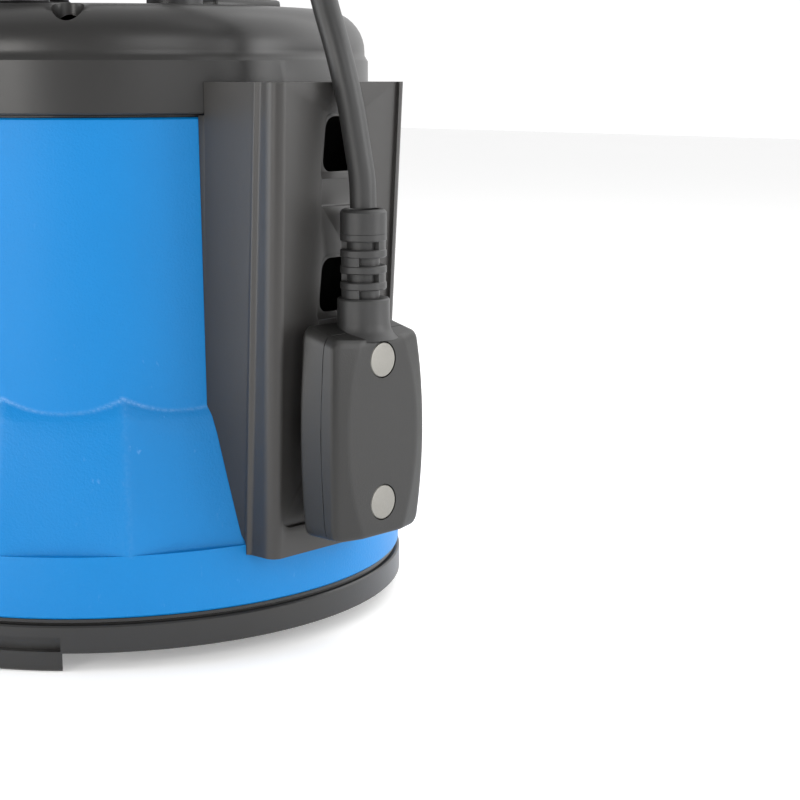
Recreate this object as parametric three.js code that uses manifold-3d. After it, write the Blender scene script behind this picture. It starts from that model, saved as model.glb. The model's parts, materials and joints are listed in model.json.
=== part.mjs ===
// Submersible drainage pump with an electronic level sensor hung on a slotted rail.
// Millimetres, +Z up. The origin is on the pump's axis at the floor, and the rail faces +X.
import * as THREE from "three";
import { mergeVertices } from "three/addons/utils/BufferGeometryUtils.js";
import Module from "manifold-3d";

const wasm = await Module();
wasm.setup();

// ---- Driving dimensions ----
const GAP = 0.3; // between pieces that touch
const RUNNING_FIT = 0.2; // round the shaft, where its facets turn inside a bearing's
const FINE = 30; // facets round the casing: a ridge and a valley to each flute
const NESTED = 24; // facets round the motor can and what fits in it
const ROUND = 20; // facets round a medium piece
const SMALL = 8; // facets round a small piece

const BASE_R = 104; // base ring
const FOOT_H = 5.75; // feet, and so the gap that water enters by
const FOOT_SPAN = 24; // degrees of ring that one foot takes
const FOOT_ANGLES = [60, 180, 300];
const RING_H = 8.9;
const SEAM_H = 2.1; // recessed seam over the ring
const STRAINER_SLOTS = 18;

const BAND_R = 103.5; // plain band at the foot of the casing
const BAND_H = 19.9;
const SHELL_R = 91; // casing above the skirt
const SHELL_H = 154.5;
const WALL = 3;
const FLUTES = 15;
const FLUTE_H = 47.6; // flute, from the crease to a ridge's tip
const FLUTE_DIP = 4.5; // how much lower a flute starts at its middle
const FLUTE_RECESS = 2.75;
const RIDGE_STEP = 0.15; // ledge left at a ridge

const COVER_R = 93;
const COVER_H = 33.75;
const COVER_ROUND = 14;
const COVER_WALL = 3.6;
const COVER_SEAM = 1;
const SPIGOT_H = 6;

const SCREW_ANGLES = [45, 135, 225, 315];
const SCREW_R = 2.3; // shank
const HEAD_R = 4.2;
const HEAD_H = 3.4;
const BOSS_R = 5.4; // bosses that the casing's screws run into
const POCKET_DEPTH = 18; // cover screws' pockets
const BASE_SCREW_PCR = 91;
const COVER_SCREW_PCR = 84;

const RAIL_FOOT_Z = 33.5;
const RAIL_TOP_Z = 182;
const RAIL_FACE_FOOT = 112; // face's distance from the axis at the rail's foot
const RAIL_FACE_TOP = 119; // and at its top
const RAIL_HALF = 26.5; // of the side walls, at the crease behind the front corner
const RAIL_CREASE = 12; // crease's distance behind the face
const RAIL_SPLAY = 0.2175; // sideways lean of the side walls
const RAIL_ROUND = 3.5;
const RAIL_WALL = 2.6;
const RAIL_TRACK_FOOT = 22.6; // recess down the rail's face, half-width at its foot
const RAIL_TRACK_DRAFT = 0.016;
const RAIL_TRACK_DEPTH = 1.2;
const SLOT_PITCH = 44;
const SLOT_LOW_Z = 75.1; // middle of the lowest slot
const SLOT_COUNT = 3;
const SLOT_H = 17;
const SLOT_HALF_TOP = 5.5;
const SLOT_HALF_FOOT = 7.5;

const SENSOR_FACE = 135; // front of the sensor, from the axis
const SENSOR_T = 16.5;
const SENSOR_FOOT_Z = 41;
const SENSOR_H = 64.5;
const SENSOR_HALF = 18.8;
const SENSOR_BULGE = 1.9;
const SENSOR_WALL = 2.2;
const ELECTRODE_R = 5.5;
const SPIGOT_R = 2.5; // electrode's stem inside the sensor
const ELECTRODE_PITCH = 45.4;
const COLLAR_R = 8.25;
const RELIEF_R = 7.2;
const COLLAR_H = 10.5;
const RELIEF_H = 38;
const CABLE_D = 8.2;

const CAN_R = 62; // stainless motor can
const CAN_WALL = 1;
const STACK_H = 50; // stator and rotor laminations
const BORE_R = 31; // stator bore
const AIR_GAP = 0.6;
const SHAFT_R = 7.5;
const SHAFT_TOP_R = 6;
const IMPELLER_R = 50;
const IMPELLER_H = 15;
const VANES = 6;
const EYE_R = 24; // suction eye
const SEAL_R = 15;
const BEARING_R = 17.5;
const BEARING_H = 11;
const SMALL_BEARING_R = 14;
const SMALL_BEARING_H = 8;
const WINDING_H = 11; // winding overhang at each end of the stator
const BOARD_DROP = 14; // control board and capacitor, under the can's top

const OUTLET_X = -52; // outlet stub's axis
const STUB_R = 20.95;
const STUB_BORE = 17.4;
const STUB_H = 20;
const VALVE_R = 11.5;
const VALVE_T = 2;
const PIN_R = 0.9;
const KNUCKLE_R = 2.3; // flap's eye round its pin
const ELBOW_R = 17;
const ELBOW_BORE = 14;
const ELBOW_BEND = 21;
const ELBOW_END = -42; // from the stub's axis
const ELBOW_RIM_R = ELBOW_R + 2.4;
const NOZZLE_END_X = -135;
const NOZZLE_BORE = 10;

const HANDLE_HALF = 64; // middle of a leg
const HANDLE_TOP = 66; // grip's top over the cover
const HANDLE_W = 26;
const GRIP = 18;
const HANDLE_ROUND = 24;
const PAD_T = 5;
const PAD_LENGTH = 33;
const PAD_Y = HANDLE_HALF - 8;
const HANDLE_SCREW_Y = HANDLE_HALF - 17;

const SENSOR_GLAND_X = 39.2;
const MAINS_GLAND = [30, -56];
const GLAND_R = 9.5;
const GLAND_STEM_R = 7.5;
const GLAND_H = 5; // its flange over the cover
const GLAND_TOP = 16.4; // its nut's top over the cover

// The sensor cable's route, from its gland over to the strain relief.
const CABLE_ROUTE = [
  [39.2, 0, 222.9], [39.9, 0, 231], [43.2, -0.2, 240], [49.4, -0.6, 248], [58, -1.2, 254],
  [68, -1.9, 256.9], [78, -2.6, 256.7], [87.5, -3.3, 253.4], [95.3, -3.9, 247.6],
  [101.6, -4.3, 240], [106.4, -4.6, 231], [110.8, -4.8, 219], [115.2, -4.6, 205.5],
  [120.3, -3.9, 190.5], [123.5, -2.3, 175.4], [125.3, -0.9, 161.4], [126.4, -0.2, 152.6],
  [126.6, 0, 143.8],
];

// ---- Heights that follow ----
const RING_Z = FOOT_H;
const SEAM_Z = RING_Z + RING_H;
const BAND_Z = SEAM_Z + SEAM_H;
const CREASE_Z = BAND_Z + BAND_H;
const SHELL_TOP = BAND_Z + SHELL_H;
const COVER_Z = SHELL_TOP + COVER_SEAM;
const COVER_TOP = COVER_Z + COVER_H;
const PLATE_Z = SEAM_Z - 2.5; // base plate
const SUCTION_Z = 19; // suction cover
const SUCTION_T = 3;
const IMPELLER_Z = SUCTION_Z + SUCTION_T + 1.5;
const CHAMBER_Z = IMPELLER_Z + IMPELLER_H + 2.5;
const CARRIER_Z = CHAMBER_Z + 4 + GAP;
const CAN_Z = CARRIER_Z + 4 + GAP;
const LOWER_BEARING_Z = CAN_Z + 8;
const STACK_Z = CAN_Z + 38;
const BRACKET_Z = STACK_Z + STACK_H + 13;
const CAN_TOP = 187;
const LID_T = 4;
const SEAT_Z = COVER_TOP + GAP;
const SEAT_T = 2.5;
const FLAP_Z = SEAT_Z + SEAT_T + GAP;
const PIN_X = 13.6; // pin, from the stub's axis
const PIN_Z = FLAP_Z + KNUCKLE_R; // high enough for the knuckle to clear the seat as it turns
const STUB_TOP = COVER_TOP + STUB_H;
const GASKET_T = 1.6;
const FLANGE_Z = STUB_TOP + GASKET_T + 2 * GAP;
const FLANGE_T = 3;
const ELBOW_AXIS_Z = FLANGE_Z + FLANGE_T + 3.5 + ELBOW_BEND;
const TRACK_Z = RAIL_FOOT_Z + 8;
const SLOT_TOP = SLOT_LOW_Z + SLOT_H / 2;
const SLOT_FOOT = SLOT_LOW_Z - SLOT_H / 2;
const SENSOR_TOP = SENSOR_FOOT_Z + SENSOR_H;
const SENSOR_BACK = SENSOR_FACE - SENSOR_T;
const SENSOR_SPLIT = SENSOR_FACE - 6.8; // parting line of the sensor's two shells
const SENSOR_MID_Z = SENSOR_FOOT_Z + SENSOR_H / 2 + 1.15;
const RELIEF_X = SENSOR_FACE - SENSOR_T / 2 - 0.15;
const ELECTRODES = [-0.5, 0.5].map((step) => SENSOR_MID_Z + step * ELECTRODE_PITCH);
const RAIL_DRAFT = (RAIL_FACE_TOP - RAIL_FACE_FOOT) / (RAIL_TOP_Z - RAIL_FOOT_Z);
const RAIL_SCREWS = [0.5, 1.5].map((step) => SLOT_LOW_Z + step * SLOT_PITCH); // between slots

const radians = THREE.MathUtils.degToRad;
const trackHalf = (z) => RAIL_TRACK_FOOT + RAIL_TRACK_DRAFT * (z - TRACK_Z);
const railFace = (z) => RAIL_FACE_FOOT + RAIL_DRAFT * (z - RAIL_FOOT_Z);

// ---- Geometry helpers ----

/** A closed geometry as a solid: vertices shared, slivers dropped, faces outwards. */
function solid(geometry) {
  const bare = new THREE.BufferGeometry();
  bare.setAttribute("position", geometry.getAttribute("position").clone());
  if (geometry.index) bare.setIndex(geometry.index.clone());
  const merged = mergeVertices(bare, 1e-3);
  const corners = merged.index.array;
  const faces = [];
  for (let i = 0; i < corners.length; i += 3) {
    const [a, b, c] = corners.slice(i, i + 3);
    if (a !== b && b !== c && c !== a) faces.push([a, b, c]);
  }
  const build = (list) => new wasm.Manifold(new wasm.Mesh({
    numProp: 3,
    vertProperties: merged.getAttribute("position").array,
    triVerts: new Uint32Array(list.flat()),
  }));
  const made = build(faces);
  return made.volume() > 0 ? made : build(faces.map(([a, b, c]) => [a, c, b]));
}

const join = (...shapes) => shapes.map(asSolid).reduce((a, b) => a.add(b));
const cut = (body, ...tools) => tools.map(asSolid).reduce((a, b) => a.subtract(b), asSolid(body));
const common = (a, b) => asSolid(a).intersect(asSolid(b));
const asSolid = (shape) => (shape.isBufferGeometry ? solid(shape) : shape);

/** The named mesh of a shape. */
function part(name, shape, look) {
  const mesh = asSolid(shape).getMesh();
  const geometry = new THREE.BufferGeometry();
  const step = mesh.numProp;
  const points = new Float32Array(mesh.numVert * 3);
  for (let i = 0; i < mesh.numVert; i++) {
    points.set(mesh.vertProperties.subarray(i * step, i * step + 3), i * 3);
  }
  geometry.setAttribute("position", new THREE.BufferAttribute(points, 3));
  geometry.setIndex(new THREE.BufferAttribute(mesh.triVerts, 1));
  geometry.computeVertexNormals();
  const made = new THREE.Mesh(geometry, look);
  made.name = name;
  return made;
}

/** A profile of [radius, height] points turned about Z, with its first facet's edge on +X. */
function turned(profile, facets = ROUND) {
  const points = profile.map(([r, z]) => new THREE.Vector2(r, z));
  return new THREE.LatheGeometry(points, facets, Math.PI / 2).rotateX(Math.PI / 2);
}

/** A closed profile turned about Z: its last point is joined to its first. */
const turnedRing = (profile, facets) => turned([...profile, profile[0]], facets);

const ring = (inner, outer, low, high, facets) =>
  turnedRing([[inner, low], [outer, low], [outer, high], [inner, high]], facets);

const disc = (radius, low, high, facets) =>
  turned([[0, low], [radius, low], [radius, high], [0, high]], facets);

const at = (geometry, x, y, z = 0) => geometry.translate(x, y, z);
const box = (w, d, h, x, y, z) => at(new THREE.BoxGeometry(w, d, h), x, y, z + h / 2);
const alongX = (geometry) => geometry.rotateY(Math.PI / 2);
const alongY = (geometry) => geometry.rotateX(-Math.PI / 2);

/** An outline extruded up Z. */
const raised = (shape, height, bevel = 0, curve = 6) => new THREE.ExtrudeGeometry(shape, {
  depth: height - 2 * bevel,
  bevelEnabled: bevel > 0,
  bevelThickness: bevel,
  bevelSize: bevel,
  bevelOffset: -bevel,
  bevelSegments: 1,
  curveSegments: curve,
}).translate(0, 0, bevel);

/** Stands an extruded outline up: its X becomes Y, its Y becomes Z, and its depth runs along X. */
const upright = (geometry) => geometry.rotateX(Math.PI / 2).rotateZ(Math.PI / 2);

/** A round-cornered rectangle about the origin. */
function roundedRectangle(width, height, corner) {
  const w = width / 2 - corner;
  const h = height / 2 - corner;
  const shape = new THREE.Shape();
  shape.absarc(w, h, corner, 0, Math.PI / 2);
  shape.absarc(-w, h, corner, Math.PI / 2, Math.PI);
  shape.absarc(-w, -h, corner, Math.PI, 1.5 * Math.PI);
  shape.absarc(w, -h, corner, 1.5 * Math.PI, 2 * Math.PI);
  return shape;
}

/** A closed outline from straight-line points. */
function outline(points) {
  const shape = new THREE.Shape();
  points.forEach(([x, y], i) => (i ? shape.lineTo(x, y) : shape.moveTo(x, y)));
  shape.closePath();
  return shape;
}

/** A ring wall whose closed profile of [radius, height] points may change with the angle. */
function sweptRing(profileAt, facets) {
  const loops = [];
  for (let i = 0; i < facets; i++) {
    const angle = (2 * Math.PI * i) / facets;
    loops.push(profileAt(angle).map(([r, z]) => [r * Math.cos(angle), r * Math.sin(angle), z]));
  }
  const rows = loops[0].length;
  const corners = [];
  for (let i = 0; i < facets; i++) {
    for (let j = 0; j < rows; j++) {
      const a = i * rows + j;
      const b = i * rows + ((j + 1) % rows);
      const c = ((i + 1) % facets) * rows + ((j + 1) % rows);
      const d = ((i + 1) % facets) * rows + j;
      corners.push(a, c, b, a, d, c);
    }
  }
  const geometry = new THREE.BufferGeometry();
  geometry.setAttribute("position", new THREE.Float32BufferAttribute(loops.flat(2), 3));
  geometry.setIndex(corners);
  return geometry;
}

/** A tube or bar of the given section along a path. */
const along = (path, section, steps, curve = 10) => new THREE.ExtrudeGeometry(section, {
  extrudePath: path,
  steps,
  bevelEnabled: false,
  curveSegments: curve,
});

/** A circle, with a bore if one is given. */
function circle(radius, bore = 0) {
  const shape = new THREE.Shape();
  shape.absarc(0, 0, radius, 0, 2 * Math.PI);
  if (bore) shape.holes.push(new THREE.Path().absarc(0, 0, bore, 0, 2 * Math.PI));
  return shape;
}

const polar = (radius, degrees) => [
  radius * Math.cos(radians(degrees)), radius * Math.sin(radians(degrees)),
];

// ---- Finishes ----
const finish = (color, roughness, metalness = 0) =>
  () => new THREE.MeshStandardMaterial({ color, roughness, metalness });
const bluePlastic = finish(0x2f93d6, 0.45);
const darkPlastic = finish(0x3f4042, 0.5);
const blackPlastic = finish(0x232425, 0.55);
const sensorPlastic = finish(0x4a4a49, 0.45);
const rubber = finish(0x1b1b1c, 0.8);
const stainless = finish(0xb8b6b0, 0.3, 1);
const steel = finish(0x8d8f92, 0.4, 1);
const copper = finish(0xb4683a, 0.4, 1);
const aluminium = finish(0xa9abad, 0.5, 1);
const ceramic = finish(0xe6e2d8, 0.3);
const boardGreen = finish(0x2f6b45, 0.6);

// ---- Casing ----

/** How deep in a flute an angle lies: 1 at its middle and 0 at a ridge. */
function fluteDepth(angle) {
  const turns = (angle * FLUTES) / (2 * Math.PI);
  const off = turns - Math.round(turns);
  return 1 - 4 * off * off;
}

/** The casing's outer profile at an angle, moved out by a clearance, from the foot up. */
function shellProfile(angle, clearance = 0) {
  const depth = fluteDepth(angle);
  const start = CREASE_Z + FLUTE_H - FLUTE_DIP * depth;
  const end = BAND_R - RIDGE_STEP - FLUTE_RECESS * depth;
  const flare = [0, 0.3, 0.6, 1].map((t) => [
    end + (SHELL_R - end) * (1 - (1 - t) * (0.5 + 0.5 * (1 - t))),
    CREASE_Z + (start - CREASE_Z) * t,
  ]);
  const line = [[BAND_R, BAND_Z], [BAND_R, CREASE_Z], ...flare, [SHELL_R, SHELL_TOP]];
  return line.map(([r, z]) => [r + clearance, z]);
}

/** Blue casing with its fluted skirt, and the bosses that its screws run into. */
function outerShell() {
  const wall = sweptRing((angle) => {
    const outer = shellProfile(angle);
    const inner = outer.map(([r, z], i) => [r - WALL, i === 1 ? z - WALL / 2 : z]);
    return [...outer, ...inner.reverse()];
  }, FINE);
  const bosses = SCREW_ANGLES.flatMap((angle) => [
    at(disc(BOSS_R, SHELL_TOP - 22, SHELL_TOP, SMALL), ...polar(COVER_SCREW_PCR, angle)),
    at(disc(BOSS_R, BAND_Z + 2, BAND_Z + 24, SMALL), ...polar(BASE_SCREW_PCR, angle)),
    box(14, 3, 18, BASE_SCREW_PCR + 5, 0, BAND_Z + 2).rotateZ(radians(angle)),
  ]);
  const holes = SCREW_ANGLES.flatMap((angle) => [
    at(disc(SCREW_R + GAP, SHELL_TOP - 20, SHELL_TOP + 1, SMALL), ...polar(COVER_SCREW_PCR, angle)),
    at(disc(SCREW_R + GAP, BAND_Z + 1, BAND_Z + 22, SMALL), ...polar(BASE_SCREW_PCR, angle)),
  ]);
  const railHoles = RAIL_SCREWS.map((z) =>
    at(alongX(disc(SCREW_R + GAP, SHELL_R - 8, SHELL_R + 4, SMALL)), 0, 0, z));
  return part("outer_shell", cut(join(wall, ...bosses), ...holes, ...railHoles), bluePlastic());
}

/** Base ring on three feet, with its slotted strainer plate. */
function baseStrainer() {
  const wall = turnedRing([
    [50, PLATE_Z], [BASE_R - 3.5, PLATE_Z], [BASE_R - 3.5, RING_Z], [BASE_R, RING_Z],
    [BASE_R, SEAM_Z], [BASE_R - 2.2, SEAM_Z], [BASE_R - 2.2, BAND_Z - GAP],
    [BAND_R - WALL - 3, BAND_Z - GAP], [BAND_R - WALL - 3, SEAM_Z], [50, SEAM_Z],
  ], FINE);
  const feet = FOOT_ANGLES.map((angle) => {
    const arc = new THREE.Shape();
    arc.absarc(0, 0, BASE_R, radians(-FOOT_SPAN / 2), radians(FOOT_SPAN / 2));
    arc.absarc(0, 0, BASE_R - 13, radians(FOOT_SPAN / 2), radians(-FOOT_SPAN / 2), true);
    arc.closePath();
    return raised(arc, PLATE_Z + 1, 0, 5).rotateZ(radians(angle));
  });
  const windows = FOOT_ANGLES.map((angle) =>
    box(4, 2 * BASE_R * Math.sin(radians(FOOT_SPAN / 2)), 3.6, BASE_R, 0, RING_Z)
      .rotateZ(radians(angle)));
  const slots = Array.from({ length: STRAINER_SLOTS }, (_, i) =>
    box(22, 6, 8, 72, 0, PLATE_Z - 3).rotateZ(radians((360 / STRAINER_SLOTS) * (i + 0.5))));
  const holes = SCREW_ANGLES.map((angle) =>
    at(disc(SCREW_R + GAP, 0, BAND_Z, SMALL), ...polar(BASE_SCREW_PCR, angle)));
  const body = cut(join(wall, ...feet), ...windows, ...slots, ...holes);
  return part("base_strainer", body, darkPlastic());
}

/** Screw: a flat head with a socket, and a plain shank below it. */
function screw(name, length) {
  const profile = [
    [0, -length], [SCREW_R, -length], [SCREW_R, 0], [HEAD_R, 0],
    [HEAD_R, HEAD_H], [2, HEAD_H], [2, HEAD_H - 2], [0, HEAD_H - 2],
  ];
  return part(name, turned(profile, 6), steel());
}

/** Domed top cover with the outlet stub. */
function topCover() {
  const top = COVER_TOP;
  const rim = 3; // turned-out rim at the seam
  const outer = turned([
    [0, COVER_Z - SPIGOT_H], [SHELL_R - WALL - GAP, COVER_Z - SPIGOT_H],
    [SHELL_R - WALL - GAP, COVER_Z], [COVER_R, COVER_Z], [COVER_R, top - COVER_ROUND - rim],
    [COVER_R - 1.2, top - COVER_ROUND],
    ...[0.33, 0.67, 1].map((t) => [
      COVER_R - 1.2 - COVER_ROUND * (1 - Math.cos((t * Math.PI) / 2)),
      top - COVER_ROUND * (1 - Math.sin((t * Math.PI) / 2)),
    ]),
    [0, top],
  ], FINE);
  const hollow = turned([
    [0, COVER_Z - SPIGOT_H - 1], [SHELL_R - 2 * WALL - GAP, COVER_Z - SPIGOT_H - 1],
    [SHELL_R - 2 * WALL - GAP, COVER_Z], [COVER_R - COVER_WALL, COVER_Z + 2],
    [COVER_R - COVER_WALL, top - COVER_ROUND - 3], [COVER_R - COVER_ROUND, top - COVER_WALL],
    [0, top - COVER_WALL],
  ], FINE);
  const columns = SCREW_ANGLES.map((angle) =>
    at(disc(7.4, COVER_Z - SPIGOT_H - 2, top, SMALL), ...polar(COVER_SCREW_PCR, angle)));
  const pegs = SCREW_ANGLES.map((angle) => // room for the casing's bosses
    at(disc(BOSS_R + 2 * GAP, COVER_Z - SPIGOT_H - 3, SHELL_TOP + GAP, SMALL),
      ...polar(COVER_SCREW_PCR, angle)));
  const pockets = SCREW_ANGLES.flatMap((angle) => [
    at(disc(HEAD_R + 0.8, top - POCKET_DEPTH, top + 1, SMALL), ...polar(COVER_SCREW_PCR, angle)),
    at(disc(SCREW_R + GAP, COVER_Z - 8, top, SMALL), ...polar(COVER_SCREW_PCR, angle)),
  ]);
  const dome = cut(outer, cut(hollow, ...columns));
  const stub = at(disc(STUB_R, top - COVER_WALL, STUB_TOP, ROUND), OUTLET_X, 0);
  const bores = [
    at(disc(STUB_BORE, top, STUB_TOP + 1, ROUND), OUTLET_X, 0),
    at(disc(VALVE_R, top - 10, top + 1, ROUND), OUTLET_X, 0),
    at(disc(GLAND_STEM_R + GAP, top - 10, top + 1, SMALL), SENSOR_GLAND_X, 0),
    at(disc(GLAND_STEM_R + GAP, top - 10, top + 1, SMALL), ...MAINS_GLAND),
  ];
  const handleHoles = [-1, 1].map((side) =>
    at(disc(SCREW_R + GAP, top - 10, top + 1, SMALL), 0, side * HANDLE_SCREW_Y));
  const body = cut(join(dome, stub), ...pegs, ...pockets, ...bores, ...handleHoles);
  return part("top_cover", body, darkPlastic());
}

/** Carrying handle: one arch with a rounded grip, on two pads. */
function carryHandle() {
  const h = HANDLE_TOP;
  const outerY = HANDLE_HALF + GRIP / 2;
  const innerY = HANDLE_HALF - GRIP / 2;
  const innerRound = HANDLE_ROUND - GRIP / 2;
  const arch = new THREE.Shape();
  arch.moveTo(outerY, 2);
  arch.absarc(outerY - HANDLE_ROUND, h - HANDLE_ROUND, HANDLE_ROUND, 0, Math.PI / 2);
  arch.absarc(HANDLE_ROUND - outerY, h - HANDLE_ROUND, HANDLE_ROUND, Math.PI / 2, Math.PI);
  arch.lineTo(-outerY, 2);
  arch.lineTo(-innerY, 2);
  const windowTop = h - GRIP - innerRound;
  arch.absarc(innerRound - innerY, windowTop, innerRound, Math.PI, Math.PI / 2, true);
  arch.absarc(innerY - innerRound, windowTop, innerRound, Math.PI / 2, 0, true);
  arch.lineTo(innerY, 2);
  const bow = upright(raised(arch, HANDLE_W, 4, 4)).translate(-HANDLE_W / 2, 0, 0);
  const pads = [-1, 1].map((side) =>
    at(raised(roundedRectangle(HANDLE_W + 4, PAD_LENGTH, 6), PAD_T), 0, side * PAD_Y));
  const holes = [-1, 1].map((side) =>
    at(disc(SCREW_R + GAP, -1, PAD_T + 1, SMALL), 0, side * HANDLE_SCREW_Y));
  return part("carry_handle", cut(join(bow, ...pads), ...holes), darkPlastic());
}

// ---- Discharge ----

/** Seat of the non-return valve, with the two lugs that carry the flap's pin. */
function valveSeat() {
  const lugs = [-1, 1].map((side) =>
    box(3.4, 2.4, PIN_Z - SEAT_Z + 1.7, PIN_X, side * 6.4, SEAT_Z + 0.4));
  const pinHole = at(alongY(disc(PIN_R + GAP, -12, 12, SMALL)), PIN_X, 0, PIN_Z);
  const plate = ring(VALVE_R - 2, STUB_BORE - GAP, SEAT_Z, SEAT_Z + SEAT_T, ROUND);
  return part("valve_seat", cut(join(plate, ...lugs), pinHole), blackPlastic());
}

/** Flap that the water lifts, with a knuckle round the pin. */
function valveFlap() {
  const knuckle = at(alongY(disc(KNUCKLE_R, -4.6, 4.6, SMALL)), PIN_X, 0, PIN_Z);
  const arm = box(6, 9.2, VALVE_T, PIN_X - 3, 0, FLAP_Z);
  const hole = at(alongY(disc(PIN_R + GAP, -12, 12, SMALL)), PIN_X, 0, PIN_Z);
  const plate = disc(VALVE_R, FLAP_Z, FLAP_Z + VALVE_T, ROUND);
  return part("valve_flap", cut(join(plate, arm, knuckle), hole), rubber());
}

const valvePin = () => part("valve_pin",
  at(alongY(disc(PIN_R, -9.5, 9.5, SMALL)), PIN_X, 0, PIN_Z), stainless());

const outletGasket = () => part("outlet_gasket",
  ring(STUB_BORE, STUB_R - 0.8, STUB_TOP + GAP, STUB_TOP + GAP + GASKET_T), rubber());

/** Union nut over the stub and the elbow's flange, with grip ribs. */
function unionNut() {
  const low = STUB_TOP - 14;
  const high = FLANGE_Z + FLANGE_T + GAP;
  const body = turnedRing([
    [STUB_R + 0.4, low], [26, low], [26, high + 2], [25, high + 3],
    [ELBOW_R + 0.5, high + 3], [ELBOW_R + 0.5, high], [STUB_R + 0.4, high],
  ]);
  const ribs = Array.from({ length: 12 }, (_, i) =>
    box(2.4, 4, high - low, 26.2, 0, low + 1).rotateZ(radians(30 * i)));
  return part("union_nut", join(body, ...ribs), darkPlastic());
}

/** Elbow from the flange up and round to -X. */
function dischargeElbow() {
  const rise = FLANGE_Z + FLANGE_T;
  const path = new THREE.CurvePath();
  const v = (x, z) => new THREE.Vector3(x, 0, z);
  path.add(new THREE.LineCurve3(v(0, rise - 1), v(0, ELBOW_AXIS_Z - ELBOW_BEND)));
  for (let i = 0; i < 8; i++) {
    const bend = (t) => v(
      -ELBOW_BEND * (1 - Math.cos((t * Math.PI) / 16)),
      ELBOW_AXIS_Z - ELBOW_BEND * (1 - Math.sin((t * Math.PI) / 16)),
    );
    path.add(new THREE.LineCurve3(bend(i), bend(i + 1)));
  }
  path.add(new THREE.LineCurve3(v(-ELBOW_BEND, ELBOW_AXIS_Z), v(ELBOW_END, ELBOW_AXIS_Z)));
  const flange = ring(ELBOW_BORE, STUB_R - 0.8, FLANGE_Z, rise, ROUND);
  const rim = at(alongX(ring(ELBOW_R - 1, ELBOW_RIM_R, ELBOW_END, ELBOW_END + 3)), 0, 0, ELBOW_AXIS_Z);
  const tube = along(path, circle(ELBOW_R, ELBOW_BORE), 10, 7);
  return part("discharge_elbow", join(tube, flange, rim), darkPlastic());
}

/** Stepped nozzle for three sizes of hose. */
function hoseAdapter() {
  const start = ELBOW_END - GAP;
  const end = NOZZLE_END_X - OUTLET_X;
  const barbs = [[18.5, 2], [16, 13], [12.5, 24]].flatMap(([r, x]) => [
    [r - 1.4, start - x - 3], [r, start - x - 5], [r - 1.4, start - x - 11],
  ]);
  const profile = turnedRing([
    [NOZZLE_BORE, start], [ELBOW_RIM_R, start], [ELBOW_RIM_R, start - 4],
    ...barbs, [11, end], [NOZZLE_BORE, end],
  ], ROUND);
  return part("hose_adapter", at(alongX(profile), 0, 0, ELBOW_AXIS_Z), blackPlastic());
}

// ---- Cable glands ----

/** Gland body: a flange on the cover and a stem down through it. */
const gland = (name) => part(name, turnedRing([
  [CABLE_D / 2 + GAP, COVER_TOP - 10], [GLAND_STEM_R, COVER_TOP - 10], [GLAND_STEM_R, COVER_TOP + GAP],
  [GLAND_R, COVER_TOP + GAP], [GLAND_R, COVER_TOP + GLAND_H], [CABLE_D / 2 + GAP, COVER_TOP + GLAND_H],
], SMALL), blackPlastic());

/** Gland nut: a domed cap that grips the cable. */
const glandNut = (name) => part(name, turnedRing([
  [CABLE_D / 2 + GAP, COVER_TOP + GLAND_H + GAP], [GLAND_R + 0.6, COVER_TOP + GLAND_H + GAP],
  [GLAND_R + 0.6, COVER_TOP + 13], [GLAND_R - 2.4, COVER_TOP + GLAND_TOP],
  [CABLE_D / 2 + GAP, COVER_TOP + GLAND_TOP],
], SMALL), blackPlastic());

// ---- Pump and motor ----

const suctionCover = () => part("suction_cover", turnedRing([
  [EYE_R, SUCTION_Z - 2], [EYE_R + 3, SUCTION_Z - 2], [EYE_R + 3, SUCTION_Z], [78, SUCTION_Z],
  [78, SUCTION_Z + SUCTION_T], [EYE_R, SUCTION_Z + SUCTION_T],
], NESTED), blackPlastic());

/** Semi-open impeller: a back plate, a hub and curved vanes under it. */
function impeller() {
  const top = IMPELLER_Z + IMPELLER_H;
  const plate = ring(SHAFT_R + 0.2, IMPELLER_R, top - 3, top, ROUND);
  const hub = ring(SHAFT_R + 0.2, SHAFT_R + 5, IMPELLER_Z + 3, top, ROUND);
  const vanes = Array.from({ length: VANES }, (_, i) => {
    const blade = new THREE.Shape();
    blade.absarc(18, -30, 40, radians(38), radians(112));
    blade.absarc(18, -30, 37.5, radians(112), radians(38), true);
    blade.closePath();
    return raised(blade, IMPELLER_H - 2, 0, 3).translate(0, 0, IMPELLER_Z)
      .rotateZ(radians((360 / VANES) * i));
  });
  const limit = ring(SHAFT_R + 3, IMPELLER_R, IMPELLER_Z, top, ROUND);
  return part("impeller", join(plate, hub, common(join(...vanes), limit)), blackPlastic());
}

const impellerNut = () => part("impeller_nut", turned([
  [0, IMPELLER_Z - 3], [6, IMPELLER_Z - 3], [9, IMPELLER_Z - 1], [9, IMPELLER_Z + 3 - GAP],
  [0, IMPELLER_Z + 3 - GAP],
], 6), stainless());

/** Bowl round the impeller, with windows that let the water out to the jacket. */
function pumpChamber() {
  const low = SUCTION_Z + SUCTION_T + GAP;
  const top = CHAMBER_Z + 4;
  const bowl = turnedRing([
    [IMPELLER_R + 5, low], [IMPELLER_R + 9, low], [IMPELLER_R + 9, top], [SEAL_R + 3, top],
    [SEAL_R + 3, CHAMBER_Z], [IMPELLER_R + 5, CHAMBER_Z],
  ], ROUND);
  const windows = Array.from({ length: 6 }, (_, i) =>
    box(12, 16, 9, IMPELLER_R + 6, 0, low + 4).rotateZ(radians(60 * i)));
  return part("pump_chamber", cut(bowl, ...windows), blackPlastic());
}

const sealSeat = () => part("seal_seat",
  ring(SHAFT_R + 1, SEAL_R, CHAMBER_Z + 1.2, CHAMBER_Z + 4, ROUND), ceramic());

const sealHead = () => part("seal_head",
  ring(SHAFT_R + 0.2, SEAL_R - 2, CHAMBER_Z - 2.2, CHAMBER_Z + 1.2 - GAP, ROUND), rubber());

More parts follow.
